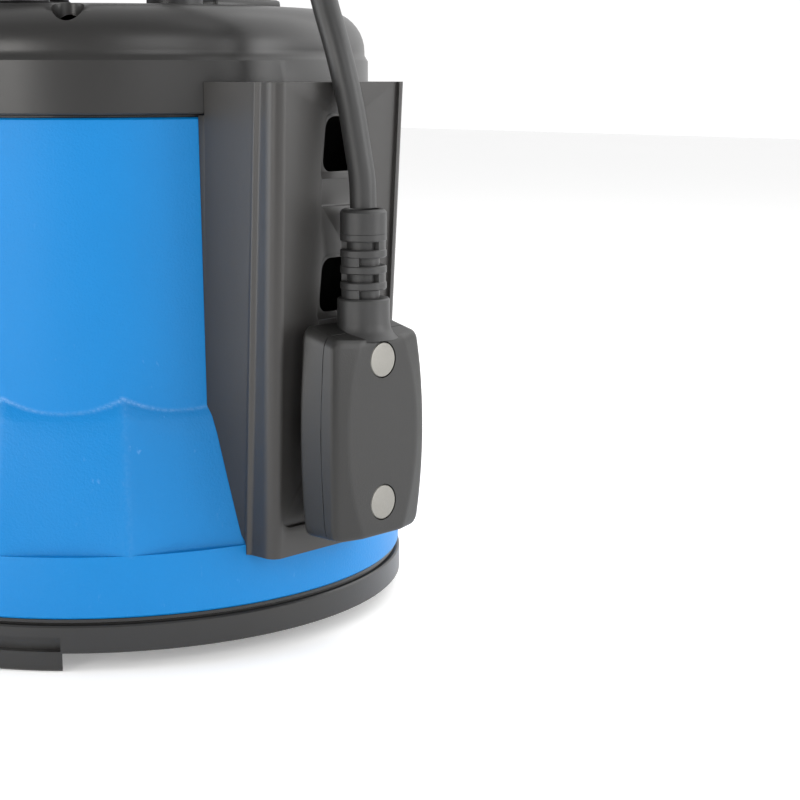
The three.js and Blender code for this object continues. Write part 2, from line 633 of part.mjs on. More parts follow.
/** Seal carrier between pump and motor, with the lower bearing's pocket. */
function sealCarrier() {
  const z = CARRIER_Z;
  return part("seal_carrier", turnedRing([
    [SHAFT_R + 1, z], [CAN_R, z], [CAN_R, z + 4], [CAN_R - CAN_WALL - GAP, z + 4],
    [CAN_R - CAN_WALL - GAP, z + 9], [CAN_R - 6, z + 9], [CAN_R - 10, z + 6],
    [BEARING_R + 4, z + 8], [BEARING_R + 4, LOWER_BEARING_Z + BEARING_H],
    [BEARING_R + GAP, LOWER_BEARING_Z + BEARING_H], [BEARING_R + GAP, LOWER_BEARING_Z - GAP],
    [SHAFT_R + 1, LOWER_BEARING_Z - GAP],
  ], NESTED), aluminium());
}

const bearing = (name, bore, radius, low, width) =>
  part(name, ring(bore + RUNNING_FIT, radius, low, low + width, ROUND), steel());

/** Shaft, stepped down to the upper bearing. */
const shaft = () => part("shaft", turned([
  [0, IMPELLER_Z + 3], [SHAFT_R, IMPELLER_Z + 3], [SHAFT_R, BRACKET_Z - 2],
  [SHAFT_TOP_R, BRACKET_Z - 2], [SHAFT_TOP_R, BRACKET_Z + 12], [0, BRACKET_Z + 12],
], ROUND), stainless());

const rotorCore = () => part("rotor_core",
  ring(SHAFT_R + 0.2, BORE_R - AIR_GAP, STACK_Z, STACK_Z + STACK_H, ROUND), aluminium());

const statorCore = () => part("stator_core",
  ring(BORE_R, CAN_R - CAN_WALL - GAP, STACK_Z, STACK_Z + STACK_H, NESTED), steel());

const winding = (name, low) => part(name, turnedRing([
  [BORE_R + 4, low], [CAN_R - 9, low], [CAN_R - 6, low + 3], [CAN_R - 6, low + 8],
  [CAN_R - 9, low + WINDING_H], [BORE_R + 4, low + WINDING_H],
], ROUND), copper());

/** Bracket of the upper bearing: a hub on a rim-held web. */
function upperBracket() {
  const z = BRACKET_Z;
  const rim = CAN_R - CAN_WALL - GAP;
  const body = turnedRing([
    [SHAFT_TOP_R + 3, z], [rim, z], [rim, z + 10], [rim - 4, z + 10], [rim - 4, z + 3],
    [SMALL_BEARING_R + 4, z + 3], [SMALL_BEARING_R + 4, z + 11],
    [SMALL_BEARING_R + GAP, z + 11], [SMALL_BEARING_R + GAP, z + 3], [SHAFT_TOP_R + 3, z + 3],
  ], NESTED);
  const vents = Array.from({ length: 3 }, (_, i) =>
    box(20, 22, 8, 38, 0, z - 2).rotateZ(radians(120 * i + 30)));
  return part("upper_bracket", cut(body, ...vents), aluminium());
}

const motorCan = () => part("motor_can",
  ring(CAN_R - CAN_WALL, CAN_R, CAN_Z, CAN_TOP, NESTED), stainless());

/** Lid over the motor can, grooved for its seal ring. */
const motorLid = () => part("motor_lid", turned([
  [0, CAN_TOP + GAP - 2], [CAN_R - 6, CAN_TOP + GAP - 2], [CAN_R - 6, CAN_TOP - 7],
  [CAN_R - 3.6, CAN_TOP - 7], [CAN_R - 3.6, CAN_TOP + GAP], [CAN_R + 2, CAN_TOP + GAP],
  [CAN_R + 2, CAN_TOP + LID_T], [0, CAN_TOP + LID_T],
], NESTED), blackPlastic());

const lidSeal = () => part("lid_seal",
  ring(CAN_R - 3.6 + GAP, CAN_R - CAN_WALL - GAP, CAN_TOP - 5, CAN_TOP - 2.6, NESTED), rubber());

const coverGasket = () => part("cover_gasket",
  ring(SHELL_R - WALL + 0.4, SHELL_R - 0.8, SHELL_TOP + GAP, COVER_Z - GAP, FINE), rubber());

const capacitor = () => part("capacitor",
  at(alongY(disc(9, -26, 26, ROUND)), -24, 0, CAN_TOP - BOARD_DROP), aluminium());

const controlBoard = () => part("control_board",
  box(46, 54, 1.6, 24, 0, CAN_TOP - BOARD_DROP), boardGreen());

// ---- Sensor rail ----

/** Plan outline of the rail at a height, inset by a wall. */
function railOutline(z, inset = 0) {
  const face = railFace(z) - inset;
  const half = RAIL_HALF - inset;
  const back = SHELL_R - 16;
  const corner = RAIL_ROUND - inset / 2;
  const crease = railFace(z) - RAIL_CREASE;
  const spread = half + RAIL_SPLAY * (crease - back);
  const centre = trackHalf(z) + 0.2;
  const side = [0, 1, 2, 3, 4].map((i) => (i * Math.PI) / 8).map((a) => [
    face - corner + corner * Math.cos(a), centre + corner * Math.sin(a),
  ]);
  side.push([crease, half]);
  const mirrored = side.map(([x, y]) => [x, -y]).reverse();
  return [[back, -spread], ...mirrored, ...side, [back, spread]];
}

/** A solid between two plan outlines with as many points as each other. */
function loft(lower, lowZ, upper, highZ) {
  const cap = THREE.ShapeUtils.triangulateShape(lower.map(([x, y]) => new THREE.Vector2(x, y)), []);
  const n = lower.length;
  const corners = cap.flatMap(([a, b, c]) => [a, c, b, a + n, b + n, c + n]);
  for (let i = 0; i < n; i++) {
    const j = (i + 1) % n;
    corners.push(i, j, j + n, i, j + n, i + n);
  }
  const points = [...lower.map(([x, y]) => [x, y, lowZ]), ...upper.map(([x, y]) => [x, y, highZ])];
  const geometry = new THREE.BufferGeometry();
  geometry.setAttribute("position", new THREE.Float32BufferAttribute(points.flat(), 3));
  geometry.setIndex(corners);
  return geometry;
}

/** A bell-shaped slot cutter through the rail's face. */
function slotCutter(z) {
  const low = z - SLOT_H / 2;
  const high = z + SLOT_H / 2;
  const shape = outline([
    [-SLOT_HALF_FOOT, low], [SLOT_HALF_FOOT, low], [SLOT_HALF_TOP, high - 3],
    [SLOT_HALF_TOP - 3, high], [3 - SLOT_HALF_TOP, high], [-SLOT_HALF_TOP, high - 3],
  ]);
  return upright(raised(shape, 24)).translate(RAIL_FACE_FOOT - 12, 0, 0);
}

/** Hollow rail down the casing's side, with the slots that the sensor hooks into. */
function sensorRail() {
  const solidAt = (inset, low, high) =>
    loft(railOutline(low, inset), low, railOutline(high, inset), high);
  const clearance = sweptRing((angle) => {
    const outer = shellProfile(angle, GAP);
    const above = [[SHELL_R + GAP, COVER_Z], [COVER_R + GAP, COVER_Z], [COVER_R + GAP, COVER_TOP]];
    return [[50, 0], [BAND_R + GAP, 0], ...outer, ...above, [50, COVER_TOP]];
  }, FINE);
  const hollow = solidAt(RAIL_WALL, RAIL_FOOT_Z + RAIL_WALL, RAIL_TOP_Z - RAIL_WALL);
  const bosses = RAIL_SCREWS.map((z) =>
    at(alongX(disc(5, SHELL_R - 4, railFace(z) - RAIL_WALL / 2, SMALL)), 0, 0, z));
  const pilots = RAIL_SCREWS.map((z) =>
    at(alongX(disc(SCREW_R + GAP, SHELL_R - 6, SHELL_R + 14, SMALL)), 0, 0, z));
  const track = loft(trackOutline(TRACK_Z), TRACK_Z, trackOutline(RAIL_TOP_Z + 1), RAIL_TOP_Z + 1);
  const slots = Array.from({ length: SLOT_COUNT }, (_, i) => slotCutter(SLOT_LOW_Z + i * SLOT_PITCH));
  const body = cut(solidAt(0, RAIL_FOOT_Z, RAIL_TOP_Z), cut(hollow, ...bosses));
  return part("sensor_rail", cut(body, clearance, ...pilots, track, ...slots), darkPlastic());
}

/** Plan outline of the recess down the rail's face. */
const trackOutline = (z) => {
  const floor = railFace(z) - RAIL_TRACK_DEPTH;
  const half = trackHalf(z);
  return [[floor, -half], [floor + 9, -half], [floor + 9, half], [floor, half]];
};

// ---- Level sensor ----

/** Bulged, round-cornered outline of the sensor's shells, inset by a wall. */
function sensorOutline(inset = 0) {
  const half = SENSOR_HALF - inset;
  const high = SENSOR_H / 2 - inset;
  const corner = 6 - inset / 2;
  const shape = new THREE.Shape();
  shape.moveTo(half - corner, -high);
  shape.quadraticCurveTo(half, -high, half, corner - high);
  shape.quadraticCurveTo(half + 2 * SENSOR_BULGE, 0, half, high - corner);
  shape.quadraticCurveTo(half, high, half - corner, high);
  shape.lineTo(corner - half, high);
  shape.quadraticCurveTo(-half, high, -half, high - corner);
  shape.quadraticCurveTo(-half - 2 * SENSOR_BULGE, 0, -half, corner - high);
  shape.quadraticCurveTo(-half, -high, corner - half, -high);
  return shape;
}

const sensorSlab = (inset, depth, bevel, x) =>
  upright(raised(sensorOutline(inset), depth, bevel, 5)).translate(x, 0, SENSOR_FOOT_Z + SENSOR_H / 2);

/** Rear shell of the sensor, open towards its cover and bored for the cable. */
function sensorHousing() {
  const depth = SENSOR_SPLIT - SENSOR_BACK;
  const body = common(
    sensorSlab(0, depth + 8, 3, SENSOR_BACK),
    box(depth, 60, 90, SENSOR_BACK + depth / 2, 0, SENSOR_FOOT_Z - 10),
  );
  const hollow = sensorSlab(SENSOR_WALL, depth, 0, SENSOR_BACK + SENSOR_WALL);
  const collar = at(disc(COLLAR_R, SENSOR_TOP - 4, SENSOR_TOP, SMALL), RELIEF_X, 0);
  const bore = at(disc(4, SENSOR_TOP - 8, SENSOR_TOP + 1, SMALL), RELIEF_X, 0);
  const trim = box(20, 30, 30, SENSOR_SPLIT + 10, 0, SENSOR_TOP - 10);
  return part("sensor_housing", cut(join(body, cut(collar, trim)), hollow, bore), sensorPlastic());
}

/** Front shell of the sensor: a shallow lens with the electrodes' two holes. */
function sensorCover() {
  const depth = SENSOR_FACE - SENSOR_SPLIT - GAP;
  const lens = new THREE.Shape();
  const edge = SENSOR_HALF + SENSOR_BULGE + 1;
  lens.moveTo(SENSOR_SPLIT - 1, -edge);
  lens.lineTo(SENSOR_FACE - 3.4, -edge);
  lens.quadraticCurveTo(SENSOR_FACE + 3.4, 0, SENSOR_FACE - 3.4, edge);
  lens.lineTo(SENSOR_SPLIT - 1, edge);
  lens.closePath();
  const crown = raised(lens, SENSOR_H + 4, 0, 10).translate(0, 0, SENSOR_FOOT_Z - 2);
  const body = common(sensorSlab(0, depth + 3, 3, SENSOR_SPLIT + GAP - 3), crown);
  const faceOnly = box(depth + 2, 60, 90, SENSOR_SPLIT + GAP + depth / 2 + 1, 0, SENSOR_FOOT_Z - 10);
  const hollow = sensorSlab(SENSOR_WALL, 2.2, 0, SENSOR_SPLIT);
  const notch = at(disc(COLLAR_R + GAP, SENSOR_TOP - 6, SENSOR_TOP + 1, SMALL), RELIEF_X, 0);
  const holes = ELECTRODES.map((z) =>
    at(alongX(disc(ELECTRODE_R + GAP, SENSOR_SPLIT - 2, SENSOR_FACE + 3, ROUND)), 0, 0, z));
  const shell = cut(common(body, faceOnly), hollow, notch, ...holes);
  return part("sensor_cover", shell, sensorPlastic());
}

/** Steel electrode, flush with the cover's face, with a spigot into the sensor. */
const electrode = (name) => part(name, alongX(turned([
  [0, SENSOR_SPLIT - 3], [SPIGOT_R, SENSOR_SPLIT - 3], [SPIGOT_R, SENSOR_SPLIT + 3],
  [ELECTRODE_R, SENSOR_SPLIT + 3],
  [ELECTRODE_R, SENSOR_FACE - 0.2], [ELECTRODE_R - 0.6, SENSOR_FACE + 0.1], [0, SENSOR_FACE + 0.1],
], ROUND)), stainless());

const sensorBoard = () => part("sensor_board",
  box(1.2, 28, 50, SENSOR_BACK + SENSOR_WALL + 1.6, 0, SENSOR_FOOT_Z + 7), boardGreen());

/** Hook on the sensor's back: a neck through the slot and a lip behind the rail's wall. */
function sensorHook() {
  const wallBack = railFace(SLOT_TOP) - RAIL_TRACK_DEPTH - RAIL_WALL;
  const lipX = wallBack - 4.2;
  const base = upright(raised(roundedRectangle(24, 34, 4), 1.4))
    .translate(SENSOR_BACK - GAP - 1.4, 0, SLOT_LOW_Z);
  const neck = box(SENSOR_BACK - GAP - lipX - 0.6, 8, 8, (SENSOR_BACK - GAP - 0.6 + lipX) / 2, 0,
    SLOT_FOOT + GAP);
  const lip = box(2.4, 9, 13.2, lipX + 1.2, 0, SLOT_FOOT - 5);
  return part("sensor_hook", join(base, neck, lip), sensorPlastic());
}

/** Moulded strain relief: a collar and a stack of grooved segments. */
function strainRelief() {
  const low = SENSOR_TOP + GAP;
  const top = SENSOR_TOP + RELIEF_H;
  const bore = CABLE_D / 2 - GAP;
  const grooves = [0, 1, 2, 3].flatMap((i) => {
    const z = low + COLLAR_H + 2.4 + i * 5.1;
    return [[RELIEF_R, z], [RELIEF_R - 1.6, z + 0.1], [RELIEF_R - 1.6, z + 2.4], [RELIEF_R, z + 2.5]];
  });
  return part("strain_relief", turnedRing([
    [bore, low], [COLLAR_R, low], [COLLAR_R, low + COLLAR_H - 1.5], [RELIEF_R, low + COLLAR_H],
    ...grooves, [RELIEF_R, top - 1], [RELIEF_R - 1, top], [bore, top],
  ], 12), rubber());
}

/** Sensor cable from its gland to the strain relief. */
function sensorCable() {
  const path = new THREE.CatmullRomCurve3(CABLE_ROUTE.map((p) => new THREE.Vector3(...p)));
  return part("sensor_cable", along(path, circle(CABLE_D / 2), 20, 4), rubber());
}

// ---- Assembly ----

/** Puts a mesh in a group at a place, turned about Z. */
function place(group, mesh, [x, y, z] = [0, 0, 0], turn = 0) {
  mesh.position.set(x, y, z);
  mesh.rotation.z = turn;
  group.add(mesh);
  return mesh;
}

const pump = new THREE.Group();

const rotor = new THREE.Group();
[shaft(), rotorCore(), impeller(), impellerNut(), sealHead()].forEach((m) => rotor.add(m));

const casing = new THREE.Group();
[
  outerShell(), baseStrainer(), suctionCover(), pumpChamber(), sealSeat(), sealCarrier(),
  bearing("lower_bearing", SHAFT_R, BEARING_R, LOWER_BEARING_Z, BEARING_H),
  bearing("upper_bearing", SHAFT_TOP_R, SMALL_BEARING_R, BRACKET_Z + 3 + GAP, SMALL_BEARING_H),
  statorCore(), winding("lower_winding", STACK_Z - WINDING_H - GAP),
  winding("upper_winding", STACK_Z + STACK_H + GAP), upperBracket(), motorCan(), motorLid(),
  lidSeal(), capacitor(), controlBoard(), coverGasket(), topCover(), sensorRail(),
].forEach((m) => casing.add(m));

SCREW_ANGLES.forEach((angle, i) => {
  const [baseX, baseY] = polar(BASE_SCREW_PCR, angle);
  const up = place(casing, screw(`base_screw_${i + 1}`, 24), [baseX, baseY, PLATE_Z - GAP]);
  up.rotation.x = Math.PI;
  const [coverX, coverY] = polar(COVER_SCREW_PCR, angle);
  place(casing, screw(`cover_screw_${i + 1}`, 32), [coverX, coverY, COVER_TOP - POCKET_DEPTH + GAP]);
});
RAIL_SCREWS.forEach((z, i) => {
  const side = place(casing, screw(`rail_screw_${i + 1}`, 14), [SHELL_R - WALL - 3 * GAP, 0, z]);
  side.rotation.y = -Math.PI / 2;
});

const handle = new THREE.Group();
handle.position.z = COVER_TOP + GAP;
handle.add(carryHandle());
[-1, 1].forEach((side, i) =>
  place(handle, screw(`handle_screw_${i + 1}`, 12), [0, side * HANDLE_SCREW_Y, PAD_T + GAP]));

place(casing, gland("sensor_gland"), [SENSOR_GLAND_X, 0, 0]);
place(casing, glandNut("sensor_gland_nut"), [SENSOR_GLAND_X, 0, 0]);
place(casing, gland("mains_gland"), [...MAINS_GLAND, 0]);
place(casing, glandNut("mains_gland_nut"), [...MAINS_GLAND, 0]);

const discharge = new THREE.Group();
discharge.position.x = OUTLET_X;
[
  valveSeat(), valveFlap(), valvePin(), outletGasket(), unionNut(), dischargeElbow(), hoseAdapter(),
].forEach((m) => discharge.add(m));

const sensor = new THREE.Group();
[sensorHousing(), sensorCover(), sensorBoard(), sensorHook()].forEach((m) => sensor.add(m));
place(sensor, strainRelief(), [RELIEF_X, 0, 0]);
["lower_electrode", "upper_electrode"].forEach((name, i) =>
  place(sensor, electrode(name), [0, 0, ELECTRODES[i]]));

pump.add(casing, rotor, handle, discharge, sensor, sensorCable());

export default pump;
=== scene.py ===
"""Finished look of a submersible drainage pump with a level sensor on a slotted side rail.

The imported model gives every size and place; this script dresses it and shapes the finer surfaces.
"""

import json
import logging
import math
from dataclasses import dataclass, field
from enum import Enum
from typing import Callable, Iterable, Sequence

import bmesh
import bpy
from mathutils import Matrix, Vector

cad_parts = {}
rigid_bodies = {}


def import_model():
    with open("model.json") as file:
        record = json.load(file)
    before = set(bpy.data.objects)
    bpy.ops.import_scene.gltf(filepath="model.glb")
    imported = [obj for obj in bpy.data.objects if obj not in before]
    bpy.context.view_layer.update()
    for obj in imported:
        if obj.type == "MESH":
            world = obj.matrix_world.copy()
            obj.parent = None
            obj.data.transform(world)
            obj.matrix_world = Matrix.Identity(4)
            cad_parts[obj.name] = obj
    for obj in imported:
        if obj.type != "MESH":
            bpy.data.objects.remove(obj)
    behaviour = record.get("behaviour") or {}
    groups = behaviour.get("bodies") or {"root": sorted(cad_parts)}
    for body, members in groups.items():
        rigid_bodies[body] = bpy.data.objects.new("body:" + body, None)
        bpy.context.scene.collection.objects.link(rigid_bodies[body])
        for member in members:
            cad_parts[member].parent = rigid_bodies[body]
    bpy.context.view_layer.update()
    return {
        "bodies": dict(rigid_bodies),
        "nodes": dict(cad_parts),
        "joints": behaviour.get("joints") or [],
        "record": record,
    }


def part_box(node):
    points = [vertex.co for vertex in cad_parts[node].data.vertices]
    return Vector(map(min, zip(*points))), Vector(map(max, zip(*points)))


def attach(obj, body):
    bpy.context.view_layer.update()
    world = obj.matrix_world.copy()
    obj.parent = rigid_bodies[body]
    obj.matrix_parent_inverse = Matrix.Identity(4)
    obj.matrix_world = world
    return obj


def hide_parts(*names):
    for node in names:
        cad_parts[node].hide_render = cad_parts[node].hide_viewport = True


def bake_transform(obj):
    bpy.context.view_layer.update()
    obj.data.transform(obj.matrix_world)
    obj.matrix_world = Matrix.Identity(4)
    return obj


LOG = logging.getLogger("pump")
MM = 0.001
FINE_STEPS = 120  # facets round a large turned piece
STEPS = 64  # facets round a small one
SMOOTH_ANGLE = math.radians(32)
HAIR = 0.01 * MM  # a height too small to count

Point = tuple[float, float, float]
Profile = Sequence[tuple[float, float]]


# ---------------------------------------------------------------- shader graph


class Wire:
    """An output socket that takes part in Python arithmetic."""

    def __init__(self, graph: "Graph", socket: bpy.types.NodeSocket) -> None:
        """Keeps what the arithmetic needs.

        Args:
            graph: the graph that new Math nodes go into.
            socket: the output socket.
        """
        self.graph = graph
        self.socket = socket

    def _math(self, operation: str, first: object, second: object) -> "Wire":
        """One Math node on two values, as a new wire."""
        return self.graph.node("ShaderNodeMath", {"operation": operation}, {0: first, 1: second})

    def __add__(self, other: object) -> "Wire":
        """Sum."""
        return self._math("ADD", self, other)

    def __radd__(self, other: object) -> "Wire":
        """Sum, reflected."""
        return self._math("ADD", other, self)

    def __sub__(self, other: object) -> "Wire":
        """Difference."""
        return self._math("SUBTRACT", self, other)

    def __rsub__(self, other: object) -> "Wire":
        """Difference, reflected."""
        return self._math("SUBTRACT", other, self)

    def __mul__(self, other: object) -> "Wire":
        """Product."""
        return self._math("MULTIPLY", self, other)

    def __rmul__(self, other: object) -> "Wire":
        """Product, reflected."""
        return self._math("MULTIPLY", other, self)


class Graph:
    """The node tree of one new material."""

    def __init__(self, name: str) -> None:
        """Makes an empty node material of that name."""
        self.material = bpy.data.materials.new(name)
        self.material.use_nodes = True
        self.tree = self.material.node_tree
        self.tree.nodes.clear()

    def node(self, kind: str, settings: dict, inputs: dict, output: object = 0) -> Wire:
        """Adds one node of any type.

        Args:
            kind: Blender's node type name.
            settings: the node's own properties, set before its sockets. A list under "ramp" holds stops.
            inputs: socket name or index to a number, colour, vector or wire.
            output: name or index of the output that is returned.

        Returns:
            The wire of the chosen output.
        """
        made = self.tree.nodes.new(kind)
        for key, value in settings.items():
            if key == "ramp":
                self._fill_ramp(made.color_ramp, value)
            else:
                setattr(made, key, value)
        for key, value in inputs.items():
            if isinstance(value, Wire):
                self.tree.links.new(value.socket, made.inputs[key])
            else:
                made.inputs[key].default_value = value
        return Wire(self, made.outputs[output])

    @staticmethod
    def _fill_ramp(ramp: bpy.types.ColorRamp, stops: Sequence[tuple[float, float]]) -> None:
        """Sets a ramp's stops.

        Args:
            ramp: the ramp.
            stops: (position, grey) pairs.
        """
        while len(ramp.elements) < len(stops):
            ramp.elements.new(0.5)
        for element, (position, grey) in zip(ramp.elements, stops):
            element.position = position
            element.color = (grey, grey, grey, 1.0)

    def noise(self, scale: float, detail: float = 3.0, stretch: Point = (1.0, 1.0, 1.0)) -> Wire:
        """Adds noise on the piece's own coordinates.

        Args:
            scale: cells a metre.
            detail: octaves of finer noise.
            stretch: scale on each axis, less than 1 for cells drawn out along it.

        Returns:
            A value of about 0 to 1.
        """
        place = self.node("ShaderNodeTexCoord", {}, {}, "Object")
        place = self.node("ShaderNodeMapping", {}, {"Vector": place, "Scale": stretch})
        return self.node("ShaderNodeTexNoise", {},
                         {"Vector": place, "Scale": scale, "Detail": detail, "Roughness": 0.6}, "Fac")

    def ramp(self, value: Wire, stops: Sequence[tuple[float, float]]) -> Wire:
        """A grey ramp over a value."""
        return self.node("ShaderNodeValToRGB", {"ramp": list(stops)}, {"Fac": value}, "Color")

    def blend(self, share: object, first: object, second: object) -> Wire:
        """A colour mix."""
        return self.node("ShaderNodeMix", {"data_type": "RGBA"}, {0: share, 6: first, 7: second}, 2)

    def bump(self, height: Wire, strength: float, distance: float, under: Wire | None = None) -> Wire:
        """Adds a Bump node.

        Args:
            height: height over the surface, 0 to 1.
            strength: share of the relief that shows.
            distance: relief in metres at a height of 1.
            under: another bump that it lies on.

        Returns:
            The normal.
        """
        inputs = {"Height": height, "Strength": strength, "Distance": distance}
        if under is not None:
            inputs["Normal"] = under
        return self.node("ShaderNodeBump", {}, inputs)

    def close(self, inputs: dict) -> bpy.types.Material:
        """Ends the tree in a Principled shader.

        Args:
            inputs: the shader's sockets, by name.

        Returns:
            The finished material.
        """
        shader = self.node("ShaderNodeBsdfPrincipled", {}, inputs)
        end = self.tree.nodes.new("ShaderNodeOutputMaterial")
        self.tree.links.new(shader.socket, end.inputs["Surface"])
        return self.material


# ---------------------------------------------------------------- finishes


def tint(colour: Point, factor: float) -> tuple[float, float, float, float]:
    """A linear colour made lighter or darker, with full alpha."""
    return (*[min(1.0, c * factor) for c in colour], 1.0)


@dataclass(frozen=True)
class MouldedPlastic:
    """Injection-moulded plastic: cloudy tone, fine grain, faint flow lines and a few scuffs.

    Attributes:
        name: the material's name.
        colour: linear base colour.
        roughness: mean roughness.
        grain: grain cells a metre.
        relief: height of the grain in metres.
        cloud: how far the tone drifts, as a share.
        scuffs: how much lighter the scuffs are, as a share.
        specular: specular level.
        paints_edge_highlight: reads a vertex attribute and paints a highlight into the colour where it is
            high, along edges that catch the light.
    """

    name: str
    colour: Point
    roughness: float = 0.45
    grain: float = 2600.0
    relief: float = 0.00005
    cloud: float = 0.08
    scuffs: float = 0.25
    specular: float = 0.5
    paints_edge_highlight: bool = False

    def build(self) -> bpy.types.Material:
        """The finished material."""
        g = Graph(self.name)
        cloud = g.noise(14.0, 2.0)
        fine = g.noise(self.grain, 2.0)
        streak = g.noise(90.0, 3.0, (1.0, 1.0, 0.12))
        base = g.blend(cloud, tint(self.colour, 1 - self.cloud), tint(self.colour, 1 + self.cloud))
        base = g.blend(streak * 0.35, base, tint(self.colour, 1 + 1.5 * self.cloud))
        scuff = g.ramp(g.noise(420.0, 4.0, (1.0, 1.0, 0.5)), [(0.66, 0.0), (0.74, 1.0)])
        marks = scuff * g.ramp(g.noise(22.0, 1.0), [(0.5, 0.0), (0.7, 1.0)])
        pale = tuple(min(1.0, c + self.scuffs) for c in tint(self.colour, 1.0)[:3]) + (1.0,)
        base = g.blend(marks * 0.3, base, pale)
        rough = self.roughness + (cloud - 0.5) * 0.12 + marks * 0.15
        if self.paints_edge_highlight:
            # Painted highlight: lighter, slightly rougher colour along the casing's lit flute edges and
            # ridges, broken into specks.
            wear = g.node("ShaderNodeAttribute", {"attribute_name": "wear"}, {}, "Fac")
            speckle = g.ramp(g.noise(900.0, 4.0), [(0.42, 0.0), (0.62, 1.0)])
            highlight_share = wear * (0.35 + speckle * 0.65)
            base = g.blend(highlight_share * 0.7, base, pale)
            rough = rough + highlight_share * 0.1
        normal = g.bump(fine, 0.6, self.relief)
        normal = g.bump(cloud, 0.25, 0.0004, normal)
        return g.close({
            "Base Color": base, "Roughness": rough, "Normal": normal,
            "Specular IOR Level": self.specular,
        })


@dataclass(frozen=True)
class BareMetal:
    """Machined or drawn metal: fine brushed lines and a little tarnish.

    Attributes:
        name: the material's name.
        colour: linear base colour.
        roughness: mean roughness.
        stretch: how the brushed lines run, as a scale on each axis.
        lines: brushed lines a metre.
        metallic: 1 for bare metal, less for a dull oxide.
    """

    name: str
    colour: Point
    roughness: float = 0.32
    stretch: Point = (1.0, 1.0, 0.04)
    lines: float = 1800.0
    metallic: float = 1.0

    def build(self) -> bpy.types.Material:
        """The finished material."""
        g = Graph(self.name)
        brushed = g.noise(self.lines, 2.0, self.stretch)
        stain = g.noise(60.0, 4.0)
        base = g.blend(brushed, tint(self.colour, 0.86), tint(self.colour, 1.08))
        base = g.blend(stain * 0.4, base, tint(self.colour, 0.8))
        rough = self.roughness + (brushed - 0.5) * 0.16 + (stain - 0.5) * 0.1
        return g.close({
            "Base Color": base, "Roughness": rough, "Metallic": self.metallic,
            "Normal": g.bump(brushed, 0.25, 0.00004),
        })


@dataclass(frozen=True)
class SoftRubber:
    """Matt rubber or flexible sheath: dusty, faintly pebbled.

    Attributes:
        name: the material's name.
        colour: linear base colour.
        roughness: mean roughness.
        pebble: pebbles a metre.
    """

    name: str
    colour: Point
    roughness: float = 0.55
    pebble: float = 1500.0

    def build(self) -> bpy.types.Material:
        """The finished material."""
        g = Graph(self.name)
        dust = g.noise(35.0, 5.0)
        pebble = g.noise(self.pebble, 2.0)
        base = g.blend(dust, tint(self.colour, 0.85), tint(self.colour, 1.25))
        rough = self.roughness + (dust - 0.5) * 0.2
        return g.close({
            "Base Color": base, "Roughness": rough, "Normal": g.bump(pebble, 0.35, 0.00005),
        })


class Slot(Enum):
    """The record's material slots, with the finish of each."""

    # The casing's finish also paints a highlight along its flute edges.
    CASING = ("casing_blue", MouldedPlastic(
        "casing_blue", (0.001, 0.186, 0.500), 0.42, 1300.0, 0.00020, 0.07, 0.24, 0.28, True))
    DARK = ("dark_plastic", MouldedPlastic(
        "dark_plastic", (0.0215, 0.0210, 0.0205), 0.33, 2600.0, 0.00003, 0.10, 0.04, 0.42))
    BLACK = ("black_plastic", MouldedPlastic(
        "black_plastic", (0.016, 0.016, 0.0165), 0.42, 2600.0, 0.00004, 0.08, 0.04))
    # Painted light: the rail is the same dark plastic as the cover, made lighter here for the stronger
    # light that falls on its side.
    RAIL = ("dark_plastic", MouldedPlastic(
        "rail_plastic_painted_light", (0.0320, 0.0305, 0.0292), 0.38, 2600.0, 0.00003, 0.08, 0.04, 0.45))
    SENSOR = ("sensor_plastic", MouldedPlastic(
        "sensor_plastic", (0.0150, 0.0147, 0.0140), 0.42, 2100.0, 0.00008, 0.08, 0.06, 0.42))
    RUBBER = ("rubber", SoftRubber("rubber", (0.021, 0.021, 0.021), 0.45))
    STAINLESS = ("stainless", BareMetal(
        "stainless", (0.255, 0.248, 0.228), 0.40, (1.0, 1.0, 1.0), 1400.0, 0.75))
    STEEL = ("steel", BareMetal("steel", (0.36, 0.37, 0.38), 0.38))
    COPPER = ("copper", BareMetal("copper", (0.60, 0.27, 0.13), 0.34, (1.0, 1.0, 1.0), 900.0))
    ALUMINIUM = ("aluminium", BareMetal("aluminium", (0.46, 0.47, 0.48), 0.45))
    CERAMIC = ("ceramic", MouldedPlastic("ceramic", (0.78, 0.75, 0.68), 0.2, 900.0, 0.00001, 0.03, 0.0))
    BOARD = ("circuit_board", MouldedPlastic("circuit_board", (0.03, 0.15, 0.06), 0.5))

    def __init__(self, slot: str, finish: object) -> None:
        """Keeps the slot's name in the record and its finish."""
        self.slot = slot
        self.finish = finish


class Paintbox:
    """Builds each finish once and puts it on pieces."""

    def __init__(self) -> None:
        """Builds every finish."""
        self.materials = {slot: slot.finish.build() for slot in Slot}

    def paint(self, piece: bpy.types.Object, slot: Slot) -> None:
        """Gives a piece that one finish."""
        piece.data.materials.clear()
        piece.data.materials.append(self.materials[slot])

    def dress_nodes(self, frame: dict) -> None:
        """Gives every CAD node the finish of its slot in the record.
        """
        by_name = {slot.slot: slot for slot in Slot if slot is not Slot.RAIL}
        for row in frame["record"]["subparts"]:
            node = frame["nodes"][row["node"]]
            material = self.materials[by_name[row["material_slot"]]]
            if node.material_slots:
                for holder in node.material_slots:
                    holder.material = material
            else:
                node.data.materials.append(material)


# ---------------------------------------------------------------- modelling bench


